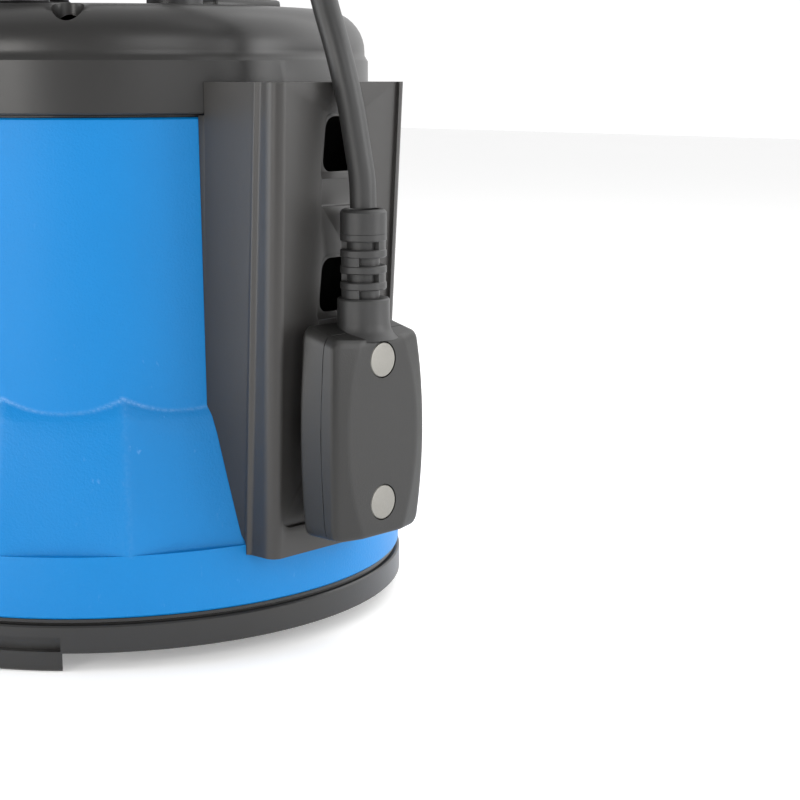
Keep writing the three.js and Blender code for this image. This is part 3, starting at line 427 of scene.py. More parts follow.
class Bench:
    """Edit-mode work shared by the sub-assemblies. Sizes are in metres."""

    @staticmethod
    def clear() -> None:
        """Deselects everything, in object mode."""
        if bpy.context.object and bpy.context.object.mode != "OBJECT":
            bpy.ops.object.mode_set(mode="OBJECT")
        bpy.ops.object.select_all(action="DESELECT")

    @staticmethod
    def take(piece: bpy.types.Object) -> None:
        """Makes a piece the only selected and active one."""
        Bench.clear()
        piece.select_set(True)
        bpy.context.view_layer.objects.active = piece

    @staticmethod
    def edit(piece: bpy.types.Object) -> None:
        """Opens a piece in edit mode with everything selected."""
        Bench.take(piece)
        bpy.ops.object.mode_set(mode="EDIT")
        bpy.ops.mesh.select_mode(type="VERT")
        bpy.ops.mesh.select_all(action="SELECT")

    @staticmethod
    def done(piece: bpy.types.Object) -> bpy.types.Object:
        """Closes edit mode, puts the piece's place into its mesh and smooths it by angle.

        Args:
            piece: the piece that was being edited.

        Returns:
            The same piece, at the origin, unturned and unscaled.
        """
        bpy.ops.object.mode_set(mode="OBJECT")
        Bench.take(piece)
        bpy.ops.object.transform_apply(location=True, rotation=True, scale=True)
        bpy.ops.object.shade_smooth_by_angle(angle=SMOOTH_ANGLE)
        return piece

    @staticmethod
    def turned(name: str, profile: Profile, steps: int = STEPS, sweep: float = math.tau,
               start: float = 0.0) -> bpy.types.Object:
        """Spins a closed profile about Z.

        The spin goes clockwise for a positive angle, so a part turn starts from its far end.

        Args:
            name: the new piece's name.
            profile: (radius, height) points; the last is joined to the first.
            steps: facets in the sweep.
            sweep: angle turned, in radians.
            start: angle that a part turn starts from.

        Returns:
            The piece, with its faces pointing out.
        """
        Bench.clear()
        bpy.ops.mesh.primitive_plane_add(size=MM, location=(0, 0, 0))
        piece = bpy.context.object
        piece.name = name
        bpy.ops.object.mode_set(mode="EDIT")
        bpy.ops.mesh.merge(type="CENTER")
        points = [*profile, profile[0]]
        part_turn = sweep < math.tau - 0.01
        turn = Matrix.Rotation(start + (sweep if part_turn else 0.0), 3, "Z")
        line = [turn @ Vector((r, 0, z)) for r, z in points]
        bpy.ops.transform.translate(value=line[0])
        for before, after in zip(line, line[1:]):
            bpy.ops.mesh.extrude_region_move(TRANSFORM_OT_translate={"value": after - before})
        bpy.ops.mesh.select_all(action="SELECT")
        bpy.ops.mesh.remove_doubles(threshold=1e-7)
        bpy.ops.mesh.select_all(action="SELECT")
        bpy.ops.mesh.spin(steps=steps, angle=sweep, center=(0, 0, 0), axis=(0, 0, 1))
        bpy.ops.mesh.select_all(action="SELECT")
        bpy.ops.mesh.remove_doubles(threshold=1e-6)
        if part_turn:
            bpy.ops.mesh.select_all(action="SELECT")
            bpy.ops.mesh.fill_holes(sides=0)
        bpy.ops.mesh.select_all(action="SELECT")
        bpy.ops.mesh.normals_make_consistent(inside=False)
        return Bench.done(piece)

    @staticmethod
    def block(name: str, size: Point, centre: Point, bevel: float = 0.0,
              segments: int = 2) -> bpy.types.Object:
        """Makes a box with bevelled edges, at its place.

        Args:
            name: the new piece's name.
            size: its length along each axis.
            centre: its middle.
            bevel: width of its bevels, or 0 for none.
            segments: facets across a bevel.

        Returns:
            The piece.
        """
        Bench.clear()
        bpy.ops.mesh.primitive_cube_add(size=1, location=centre, scale=size)
        piece = bpy.context.object
        piece.name = name
        bpy.ops.object.transform_apply(location=True, rotation=True, scale=True)
        bpy.ops.object.mode_set(mode="EDIT")
        if bevel:
            bpy.ops.mesh.select_all(action="SELECT")
            bpy.ops.mesh.bevel(offset=bevel, segments=segments, affect="EDGES")
        return Bench.done(piece)

    @staticmethod
    def rod(name: str, radius: float, low: float, high: float, steps: int = 48,
            axis: str = "Z", at: Point = (0, 0, 0)) -> bpy.types.Object:
        """Makes a round bar along an axis, between two distances along it.

        Args:
            name: the new piece's name.
            radius: the bar's radius.
            low: where it starts along the axis.
            high: where it ends.
            steps: facets round it.
            axis: "X" or "Z".
            at: the point that its axis passes through.

        Returns:
            The piece.
        """
        Bench.clear()
        turn = {"Z": (0, 0, 0), "X": (0, math.pi / 2, 0)}[axis]
        middle = (low + high) / 2
        offset = {"Z": (0, 0, middle), "X": (middle, 0, 0)}[axis]
        bpy.ops.mesh.primitive_cylinder_add(
            vertices=steps, radius=radius, depth=high - low, rotation=turn,
            location=tuple(a + b for a, b in zip(at, offset)))
        piece = bpy.context.object
        piece.name = name
        return Bench.done(piece)

    @staticmethod
    def moved(piece: bpy.types.Object, matrix: Matrix) -> bpy.types.Object:
        """Moves or turns a piece's mesh."""
        piece.data.transform(matrix)
        piece.data.update()
        return piece

    @staticmethod
    def copies(piece: bpy.types.Object, matrices: Iterable[Matrix],
               names: Iterable[str]) -> list[bpy.types.Object]:
        """Copies a modelled piece, each time with its own mesh, and removes the pattern itself.

        Args:
            piece: the pattern.
            matrices: where each copy goes.
            names: the copies' names.

        Returns:
            The copies.
        """
        made = []
        for matrix, name in zip(matrices, names):
            twin = piece.copy()
            twin.data = piece.data.copy()
            twin.name = name
            bpy.context.collection.objects.link(twin)
            made.append(Bench.moved(twin, matrix))
        bpy.data.objects.remove(piece)
        return made

    @staticmethod
    def joined(name: str, pieces: Sequence[bpy.types.Object]) -> bpy.types.Object:
        """Joins several meshes into one object.

        Args:
            name: the whole's name.
            pieces: what is joined.

        Returns:
            The whole.
        """
        Bench.clear()
        for piece in pieces:
            piece.select_set(True)
        bpy.context.view_layer.objects.active = pieces[0]
        bpy.ops.object.join()
        whole = bpy.context.object
        whole.name = name
        return whole

    @staticmethod
    def apply(piece: bpy.types.Object, kind: str, **settings: object) -> bpy.types.Object:
        """Adds a modifier and applies it.

        Args:
            piece: the piece it works on.
            kind: Blender's modifier type.
            settings: the modifier's own properties.

        Returns:
            The same piece.
        """
        Bench.take(piece)
        modifier = piece.modifiers.new(kind.lower(), kind)
        for key, value in settings.items():
            setattr(modifier, key, value)
        bpy.ops.object.modifier_apply(modifier=modifier.name)
        return piece

    @staticmethod
    def carve(piece: bpy.types.Object, tool: bpy.types.Object, how: str = "DIFFERENCE") -> None:
        """Cuts a tool out of a piece, or joins it on, and removes the tool.

        Args:
            piece: the piece that is cut.
            tool: the closed shape that cuts it.
            how: DIFFERENCE, UNION or INTERSECT.
        """
        Bench.apply(piece, "BOOLEAN", operation=how, object=tool, solver="EXACT")
        bpy.data.objects.remove(tool)

    @staticmethod
    def soften(piece: bpy.types.Object, width: float, segments: int = 2,
               angle: float = 40.0) -> bpy.types.Object:
        """Bevels a piece's sharp edges and smooths it.

        Args:
            piece: the piece.
            width: the bevels' width.
            segments: facets across a bevel.
            angle: edges sharper than this are bevelled, in degrees.

        Returns:
            The same piece.
        """
        Bench.apply(piece, "BEVEL", width=width, segments=segments, limit_method="ANGLE",
                    angle_limit=math.radians(angle), harden_normals=False,
                    use_clamp_overlap=True, miter_outer="MITER_ARC")
        Bench.take(piece)
        bpy.ops.object.shade_smooth_by_angle(angle=SMOOTH_ANGLE)
        return piece

    @staticmethod
    def reshape(piece: bpy.types.Object, rule: Callable[[Vector], Vector]) -> bpy.types.Object:
        """Moves each vertex as a rule says.

        Args:
            piece: the piece.
            rule: takes a vertex's place and returns its new one.

        Returns:
            The same piece.
        """
        for vertex in piece.data.vertices:
            vertex.co = rule(vertex.co.copy())
        piece.data.update()
        return piece

    @staticmethod
    def swept(name: str, route: Sequence[Point], radius: float, sides: int = 24) -> bpy.types.Object:
        """Sweeps a circle along a smooth route, as a mesh tube with closed ends.

        Args:
            name: the new piece's name.
            route: the centreline's points, close together.
            radius: the tube's radius.
            sides: facets round it, in fours.

        Returns:
            The piece.
        """
        Bench.clear()
        data = bpy.data.curves.new(name, "CURVE")
        data.dimensions = "3D"
        data.bevel_depth = radius
        data.bevel_resolution = sides // 4
        data.use_fill_caps = True
        spline = data.splines.new("POLY")
        spline.points.add(len(route) - 1)
        for knot, place in zip(spline.points, route):
            knot.co = (*place, 1.0)
        piece = bpy.data.objects.new(name, data)
        bpy.context.collection.objects.link(piece)
        Bench.take(piece)
        bpy.ops.object.convert(target="MESH")
        piece = bpy.context.object
        piece.name = name
        bpy.ops.object.shade_smooth_by_angle(angle=SMOOTH_ANGLE)
        return piece


@dataclass
class Assembly:
    """A sub-assembly that hands its pieces to the frame. Its other sizes are in metres.

    Attributes:
        paints: the finishes.
    """

    paints: Paintbox

    def fit(self, piece: bpy.types.Object, body: str, slot: Slot, *nodes: str) -> None:
        """Paints a piece, rides it on its body and lets it stand for its CAD nodes.

        Args:
            piece: a finished piece.
            body: the body it moves with.
            slot: its finish.
            nodes: the CAD nodes that it stands for.
        """
        self.paints.paint(piece, slot)
        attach(piece, body)
        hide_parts(*nodes)
        LOG.info("%s on %s, %d faces", piece.name, body, len(piece.data.polygons))


def span(node: str) -> tuple[Vector, Vector]:
    """A CAD node's lowest and highest corners."""
    low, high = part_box(node)
    return Vector(low), Vector(high)


def polar(radius: float, degrees: float) -> tuple[float, float]:
    """A place on a circle about the pump's axis."""
    return radius * math.cos(math.radians(degrees)), radius * math.sin(math.radians(degrees))


# ---------------------------------------------------------------- casing


@dataclass
class Casing(Assembly):
    """Blue casing with its fluted skirt."""

    flutes: int = 15
    wall: float = 3.0 * MM
    rim: float = 0.6 * MM
    band_radius: float = 103.5 * MM
    radius: float = 91.0 * MM
    band_height: float = 19.9 * MM
    flute_height: float = 47.6 * MM
    dip: float = 4.5 * MM  # how much lower a flute starts at its middle
    recess: float = 2.75 * MM
    shoulder: float = 1.3 * MM  # quick flare at the top of a flute
    shoulder_height: float = 5.0 * MM
    ridge_softness: float = 0.03  # share of a flute's width that its ridge is rounded over
    row_step: float = 0.5 * MM  # between the fine rows at the flutes' upper edges
    highlight_half_width: float = 0.5 * MM  # half-width of the painted highlight line

    def __post_init__(self) -> None:
        """Takes the casing's ends from its CAD node."""
        low, high = span("outer_shell")
        self.foot = low.z
        self.top = high.z
        self.crease = self.foot + self.band_height

    def depth(self, angle: float) -> float:
        """Tells how deep in a flute an angle lies.

        Args:
            angle: angle about the pump's axis, in radians.

        Returns:
            1 at a flute's middle, 0 at a softly rounded ridge.
        """
        turns = angle * self.flutes / math.tau
        off = abs(turns - round(turns))
        soft = self.ridge_softness
        return 1 - 4 * max(0.0, math.sqrt(off * off + soft * soft) - soft) ** 2 / (1 - 2 * soft) ** 2

    def skirt(self, angle: float, height: float) -> float:
        """Gives the casing's radius on the skirt.

        Args:
            angle: angle about the pump's axis, in radians.
            height: height over the crease.

        Returns:
            The radius there.
        """
        depth = self.depth(angle)
        start = self.flute_height - self.dip * depth
        if height >= start:
            return self.radius
        end = self.band_radius - self.recess * depth
        fall = start - height
        quick = self.shoulder * min(1.0, fall / self.shoulder_height) ** 0.8
        share = fall / start
        return self.radius + quick * (1 - share) + (end - self.radius) * share

    def rows(self) -> list[float]:
        """Heights over the crease at which the skirt is sampled, closer where the flutes begin."""
        low = [self.flute_height * i / 16 for i in range(13)]
        high = self.flute_height - self.dip - 5 * self.row_step
        return low + [high + self.row_step * i for i in range(17)]

    def build(self) -> None:
        """Spins the casing, draws the flutes into it and marks where a highlight is painted along its
        edges.
        """
        rim = self.rim
        outer = [(self.band_radius - rim, self.foot), (self.band_radius, self.foot + rim),
                 (self.band_radius, self.crease - 1.2 * MM), (self.band_radius - 0.2 * MM, self.crease)]
        outer += [(self.radius, self.crease + 0.02 * MM + h) for h in self.rows()]
        outer += [(self.radius, self.crease + self.flute_height + 6 * MM),
                  (self.radius, self.top - rim), (self.radius - rim, self.top)]
        inner = [(self.radius - self.wall, self.top),
                 (self.radius - self.wall, self.crease + self.flute_height),
                 (self.radius - self.wall, self.crease + 30 * MM),
                 (self.band_radius - self.recess - self.wall, self.crease),
                 (self.band_radius - self.wall, self.crease - 4 * MM),
                 (self.band_radius - self.wall, self.foot)]
        piece = Bench.turned("casing", outer + inner, steps=self.flutes * 24)
        inside, top = self.radius - 1.2 * MM, self.flute_height + 1 * MM
        Bench.reshape(piece, lambda place: self.spread(place, inside, top))
        self.mark_painted_highlight(piece)
        self.fit(piece, "pump", Slot.CASING, "outer_shell")

    def spread(self, place: Vector, inside: float, top: float, gap: float = 0.0) -> Vector:
        """Moves a vertex of the plain turned skirt out to the fluted surface.

        Args:
            place: the vertex's place.
            inside: radius under which a vertex is of the inner wall and stays.
            top: height over the crease from which a vertex stays.
            gap: how far outside the fluted surface it lands.

        Returns:
            The vertex's new place.
        """
        over = place.z - self.crease
        reach = math.hypot(place.x, place.y)
        if over <= HAIR or over > top or reach < inside:
            return place
        wanted = self.skirt(math.atan2(place.y, place.x), over) + gap
        return Vector((place.x * wanted / reach, place.y * wanted / reach, place.z))

    def mark_painted_highlight(self, piece: bpy.types.Object) -> None:
        """Stores how much painted highlight each point gets: a line at the flutes' upper edges, where the
        skirt starts to flare and catches the light, and a faint one on their ridges.

        Args:
            piece: the casing.
        """
        layer = piece.data.attributes.new("wear", "FLOAT", "POINT")
        for vertex, value in zip(piece.data.vertices, layer.data):
            angle = math.atan2(vertex.co.y, vertex.co.x)
            depth = self.depth(angle)
            edge = self.crease + self.flute_height - self.dip * depth
            near_edge = math.exp(-((vertex.co.z - edge) / self.highlight_half_width) ** 2) * (1 - 0.7 * depth)
            below = self.crease < vertex.co.z < edge
            ridge = math.exp(-((depth / 0.12) ** 2)) * 0.12 if below else 0.0
            value.value = min(1.0, near_edge + ridge)


@dataclass
class Base(Assembly):
    """Dark base ring on three feet, with its slotted strainer plate. Angles are in degrees."""

    radius: float = 104.0 * MM
    ring_wall: float = 3.5 * MM
    ring_z: float = 5.75 * MM
    seam_z: float = 14.65 * MM
    lip_z: float = 16.45 * MM
    plate_z: float = 12.15 * MM
    plate_bore: float = 50.0 * MM
    slot_count: int = 18
    foot_angles: tuple[float, ...] = (60.0, 180.0, 300.0)
    foot_span: float = 24.0
    foot_depth: float = 13.0 * MM
    foot_draft: float = 18.0  # share of the foot's angle lost per metre inwards
    window_depth: float = 3.0 * MM
    window_height: float = 4.6 * MM
    screw_angles: tuple[float, ...] = (45.0, 135.0, 225.0, 315.0)
    screw_circle: float = 91.0 * MM

    def build(self) -> None:
        """Spins the ring, cuts its windows, slots and screw holes, and joins the feet on."""
        ring = self.ring()
        for angle in self.foot_angles:
            Bench.carve(ring, self.window(angle))
        pattern = Bench.block("slot", (22 * MM, 6 * MM, 8 * MM), (72 * MM, 0, self.plate_z + 1 * MM),
                              2.4 * MM, 3)
        pitch = 360 / self.slot_count
        turns = [Matrix.Rotation(math.radians(pitch * (i + 0.5)), 4, "Z") for i in range(self.slot_count)]
        slots = Bench.copies(pattern, turns, [f"slot_{i}" for i in range(self.slot_count)])
        Bench.carve(ring, Bench.joined("slots", slots))
        holes = [Bench.rod("hole", 2.6 * MM, 0, 0.02, 24, at=(*polar(self.screw_circle, a), 0))
                 for a in self.screw_angles]
        Bench.carve(ring, Bench.joined("holes", holes))
        ring = Bench.joined("base", [ring, *[self.foot(angle) for angle in self.foot_angles]])
        Bench.take(ring)
        bpy.ops.object.shade_smooth_by_angle(angle=SMOOTH_ANGLE)
        self.fit(ring, "pump", Slot.DARK, "base_strainer")

    def ring(self) -> bpy.types.Object:
        """The ring with its sunk seam, its lip and the inlet plate."""
        soft = 0.5 * MM
        inner = self.radius - self.ring_wall
        return Bench.turned("base_ring", [
            (self.plate_bore, self.plate_z), (inner, self.plate_z), (inner, self.ring_z),
            (self.radius - 0.3 * MM, self.ring_z), (self.radius, self.ring_z + 0.3 * MM),
            (self.radius, self.seam_z - soft), (self.radius - soft, self.seam_z),
            (self.radius - 1.9 * MM, self.seam_z + 0.1 * MM),
            (self.radius - 2.2 * MM, self.seam_z + 0.5 * MM),
            (self.radius - 1.4 * MM, self.seam_z + 0.8 * MM), (self.radius - 1.4 * MM, self.lip_z),
            (97.5 * MM, self.lip_z), (97.5 * MM, self.seam_z), (self.plate_bore, self.seam_z),
        ], steps=180)

    def window(self, angle: float) -> bpy.types.Object:
        """Cutter of the sunk window over a foot.

        Args:
            angle: the foot's angle.

        Returns:
            The cutter, a short stretch of a ring whose roof rises outwards.
        """
        half = math.radians(self.foot_span / 2 - 0.3)
        floor = self.ring_z + 0.6 * MM
        roof = floor + self.window_height
        inner, outer = self.radius - self.window_depth, self.radius + 3 * MM
        return Bench.turned("window", [
            (inner, floor), (outer, floor), (outer, roof + 0.2 * MM), (inner, roof),
        ], steps=12, sweep=2 * half, start=math.radians(angle) - half)

    def foot(self, angle: float) -> bpy.types.Object:
        """Makes one foot: a short stretch of a deep ring with softened edges and drawn-in ends.

        Args:
            angle: the foot's angle.

        Returns:
            The foot, which ends just over the ring's underside.
        """
        half = math.radians(self.foot_span / 2)
        soft = 0.6 * MM
        top = 6.3 * MM
        outer, inner = self.radius + 0.02 * MM, self.radius - self.foot_depth
        foot = Bench.turned("foot", [
            (inner, 0.0), (self.radius - soft, 0.0), (outer, soft), (outer, top - 0.3 * MM),
            (self.radius - 0.3 * MM, top), (inner, top),
        ], steps=12, sweep=2 * half, start=math.radians(angle) - half)
        middle = Matrix.Rotation(math.radians(angle), 3, "Z")

        def draw_in(place: Vector) -> Vector:
            """Narrows the foot towards its inside."""
            own = middle.inverted() @ place
            turn, reach = math.atan2(own.y, own.x), math.hypot(own.x, own.y)
            turn *= 1 - self.foot_draft * (self.radius - reach)
            return middle @ Vector((reach * math.cos(turn), reach * math.sin(turn), place.z))

        return Bench.reshape(foot, draw_in)


@dataclass
class Cover(Assembly):
    """Top cover with the outlet stub, the cable ways and the screw pockets."""

    radius: float = 93.0 * MM
    foot: float = 172.25 * MM
    top: float = 206.0 * MM
    turn: float = 14.0 * MM  # radius of the rounded shoulder
    wall: float = 3.6 * MM
    bead: float = 1.2 * MM  # how far the shoulder stands in from the band
    outlet: Point = (-52 * MM, 0.0, 0.0)
    outlet_bore: float = 17.4 * MM
    ways: tuple[Point, ...] = ((39.2 * MM, 0.0, 0.0), (30 * MM, -56 * MM, 0.0))
    way_radius: float = 7.8 * MM
    screw_angles: tuple[float, ...] = (45.0, 135.0, 225.0, 315.0)
    screw_circle: float = 84.0 * MM
    pocket_radius: float = 5.0 * MM
    pocket_depth: float = 18.0 * MM
    thread_pitch: float = 2.31 * MM
    thread_turns: int = 7

    def build(self) -> None:
        """Spins the dome, adds the stub and cuts the bores, cable ways and screw pockets."""
        _, high = span("top_cover")
        dome = self.dome()
        stub = Bench.turned("stub", self.stub_profile(high.z), steps=96)
        Bench.moved(stub, Matrix.Translation(self.outlet))
        Bench.carve(dome, stub, "UNION")
        under, over = self.top - 20 * MM, self.top + 1 * MM
        Bench.carve(dome, Bench.rod("bore", self.outlet_bore, self.top, high.z + 0.01, 72, at=self.outlet))
        Bench.carve(dome, Bench.rod("throat", 11.5 * MM, under, over, 72, at=self.outlet))
        for way in self.ways:
            Bench.carve(dome, Bench.rod("way", self.way_radius, under, over, 48, at=way))
        for angle in self.screw_angles:
            place = (*polar(self.screw_circle, angle), 0)
            column = Bench.rod("column", self.pocket_radius + 1.6 * MM,
                               self.top - self.pocket_depth - 3 * MM,
                               self.top - 13 * MM, 48, at=place)
            Bench.carve(dome, column, "UNION")
            pocket = Bench.rod("pocket", self.pocket_radius, self.top - self.pocket_depth,
                               self.top + 0.01, 48, at=place)
            Bench.carve(dome, pocket)
        Bench.soften(dome, 0.5 * MM, 2, 50)
        self.fit(dome, "pump", Slot.DARK, "top_cover")

    def dome(self) -> bpy.types.Object:
        """The cover's wall: a skirt inside the casing, a band, a rounded shoulder and a flat top."""
        low, _ = span("top_cover")
        radius, foot, top, turn = self.radius, self.foot, self.top, self.turn
        inner = radius - self.wall
        skirt = 87.6 * MM
        seat = 84.9 * MM
        arc = [(radius - self.bead - turn * (1 - math.cos(t)), top - turn * (1 - math.sin(t)))
               for t in (math.pi / 2 * i / 10 for i in range(11))]
        return Bench.turned("cover", [
            (seat, low.z), (skirt, low.z), (skirt, foot), (radius - 0.5 * MM, foot),
            (radius, foot + 0.5 * MM), (radius, top - turn - 3.4 * MM),
            (radius - 0.5 * MM, top - turn - 2.6 * MM), (radius - self.bead, top - turn - 1.4 * MM), *arc,
            (30 * MM, top), (0, top), (0, top - self.wall), (radius - turn, top - self.wall),
            (inner, top - turn - 3 * MM), (inner, foot + 2 * MM), (seat, foot),
        ], steps=FINE_STEPS * 3 // 2)

    def stub_profile(self, high: float) -> list[tuple[float, float]]:
        """Draws the outlet stub's outside: a collar, a thread as rings and a plain mouth.

        Args:
            high: height of the stub's mouth.

        Returns:
            (radius, height) points.
        """
        low = self.top
        root, crest, collar = 19.9 * MM, 20.95 * MM, 24 * MM
        points = [(0, low - 2 * MM), (collar, low - 2 * MM), (collar, low + 1.2 * MM),
                  (collar - 1 * MM, low + 2 * MM), (root, low + 2 * MM)]
        pitch = self.thread_pitch
        start = low + 2.6 * MM
        for i in range(self.thread_turns):
            z = start + i * pitch
            points += [(root, z), (crest, z + 0.45 * pitch), (crest, z + 0.6 * pitch), (root, z + pitch)]
        return [*points, (root, high), (0, high)]


@dataclass
class Handle(Assembly):
    """Carrying handle on two pads."""

    half: float = 64.0 * MM  # half-distance of its legs' middles
    corner: float = 24.0 * MM
    grip_depth: float = 18.0 * MM
    squareness: float = 0.35  # how far the section bulges towards a square, 0 for an oval
    grip_width: float = 26.0 * MM
    pad: Point = (30 * MM, 33 * MM, 5 * MM)
    pad_y: float = 56.0 * MM
    sides: int = 40

    def build(self) -> None:
        """Extrudes the bow round its arch, rounds it and sets it on its pads."""
        low, high = span("carry_handle")
        half = self.half
        foot = low.z
        crown = high.z - self.grip_depth / 2
        bend = self.corner - self.grip_depth / 2
        path: list[tuple[float, float]] = [(-half, foot + 1 * MM), (-half, crown - bend)]
        path += [(-half + bend * (1 - math.cos(t)), crown - bend * (1 - math.sin(t)))
                 for t in (math.pi / 2 * i / 10 for i in range(1, 11))]
        path += [(-half * 0.35, crown), (0.0, crown)]
        path += [(-y, z) for y, z in reversed(path[:-1])]
        bow = self.sweep_section(path)
        pads = [Bench.block("pad", self.pad, (0, side * self.pad_y, foot + self.pad[2] / 2), 1.6 * MM, 3)
                for side in (-1, 1)]
        whole = Bench.joined("handle", [bow, *pads])
        self.fit(whole, "pump", Slot.DARK, "carry_handle")

    def sweep_section(self, path: Sequence[tuple[float, float]]) -> bpy.types.Object:
        """Carries a squarish oval section along a path in the YZ plane.

        Args:
            path: the section's middle, as (y, z) points.

        Returns:
            The closed bow.
        """
        Bench.clear()
        bpy.ops.mesh.primitive_circle_add(vertices=self.sides, radius=1.0, fill_type="NGON")
        bow = bpy.context.object
        bow.name = "bow"
        bpy.ops.object.mode_set(mode="EDIT")
        for _ in path[1:]:
            bpy.ops.mesh.extrude_region_move(TRANSFORM_OT_translate={"value": (0, 0, 1.0)})
        bpy.ops.object.mode_set(mode="OBJECT")

        def carry(place: Vector) -> Vector:
            """Takes a vertex of the straight bar to its place round the arch.

            Args:
                place: a point of the unit circle's outline, with the path's step as its height.

            Returns:
                The point's place on the bow.
            """
            i = min(len(path) - 1, int(round(place.z)))
            y, z = path[i]
            before, after = path[max(0, i - 1)], path[min(len(path) - 1, i + 1)]
            along = Vector((0, after[0] - before[0], after[1] - before[1])).normalized()
            across = Vector((0, -along.z, along.y))
            squarish = max(abs(place.x), abs(place.y)) ** -self.squareness
            wide = self.grip_width / 2 * place.x * squarish
            deep = self.grip_depth / 2 * place.y * squarish
            return Vector((wide, y, z)) + across * deep

        Bench.reshape(bow, carry)
        Bench.edit(bow)
        bpy.ops.mesh.normals_make_consistent(inside=False)
        return Bench.done(bow)


# ---------------------------------------------------------------- discharge and glands


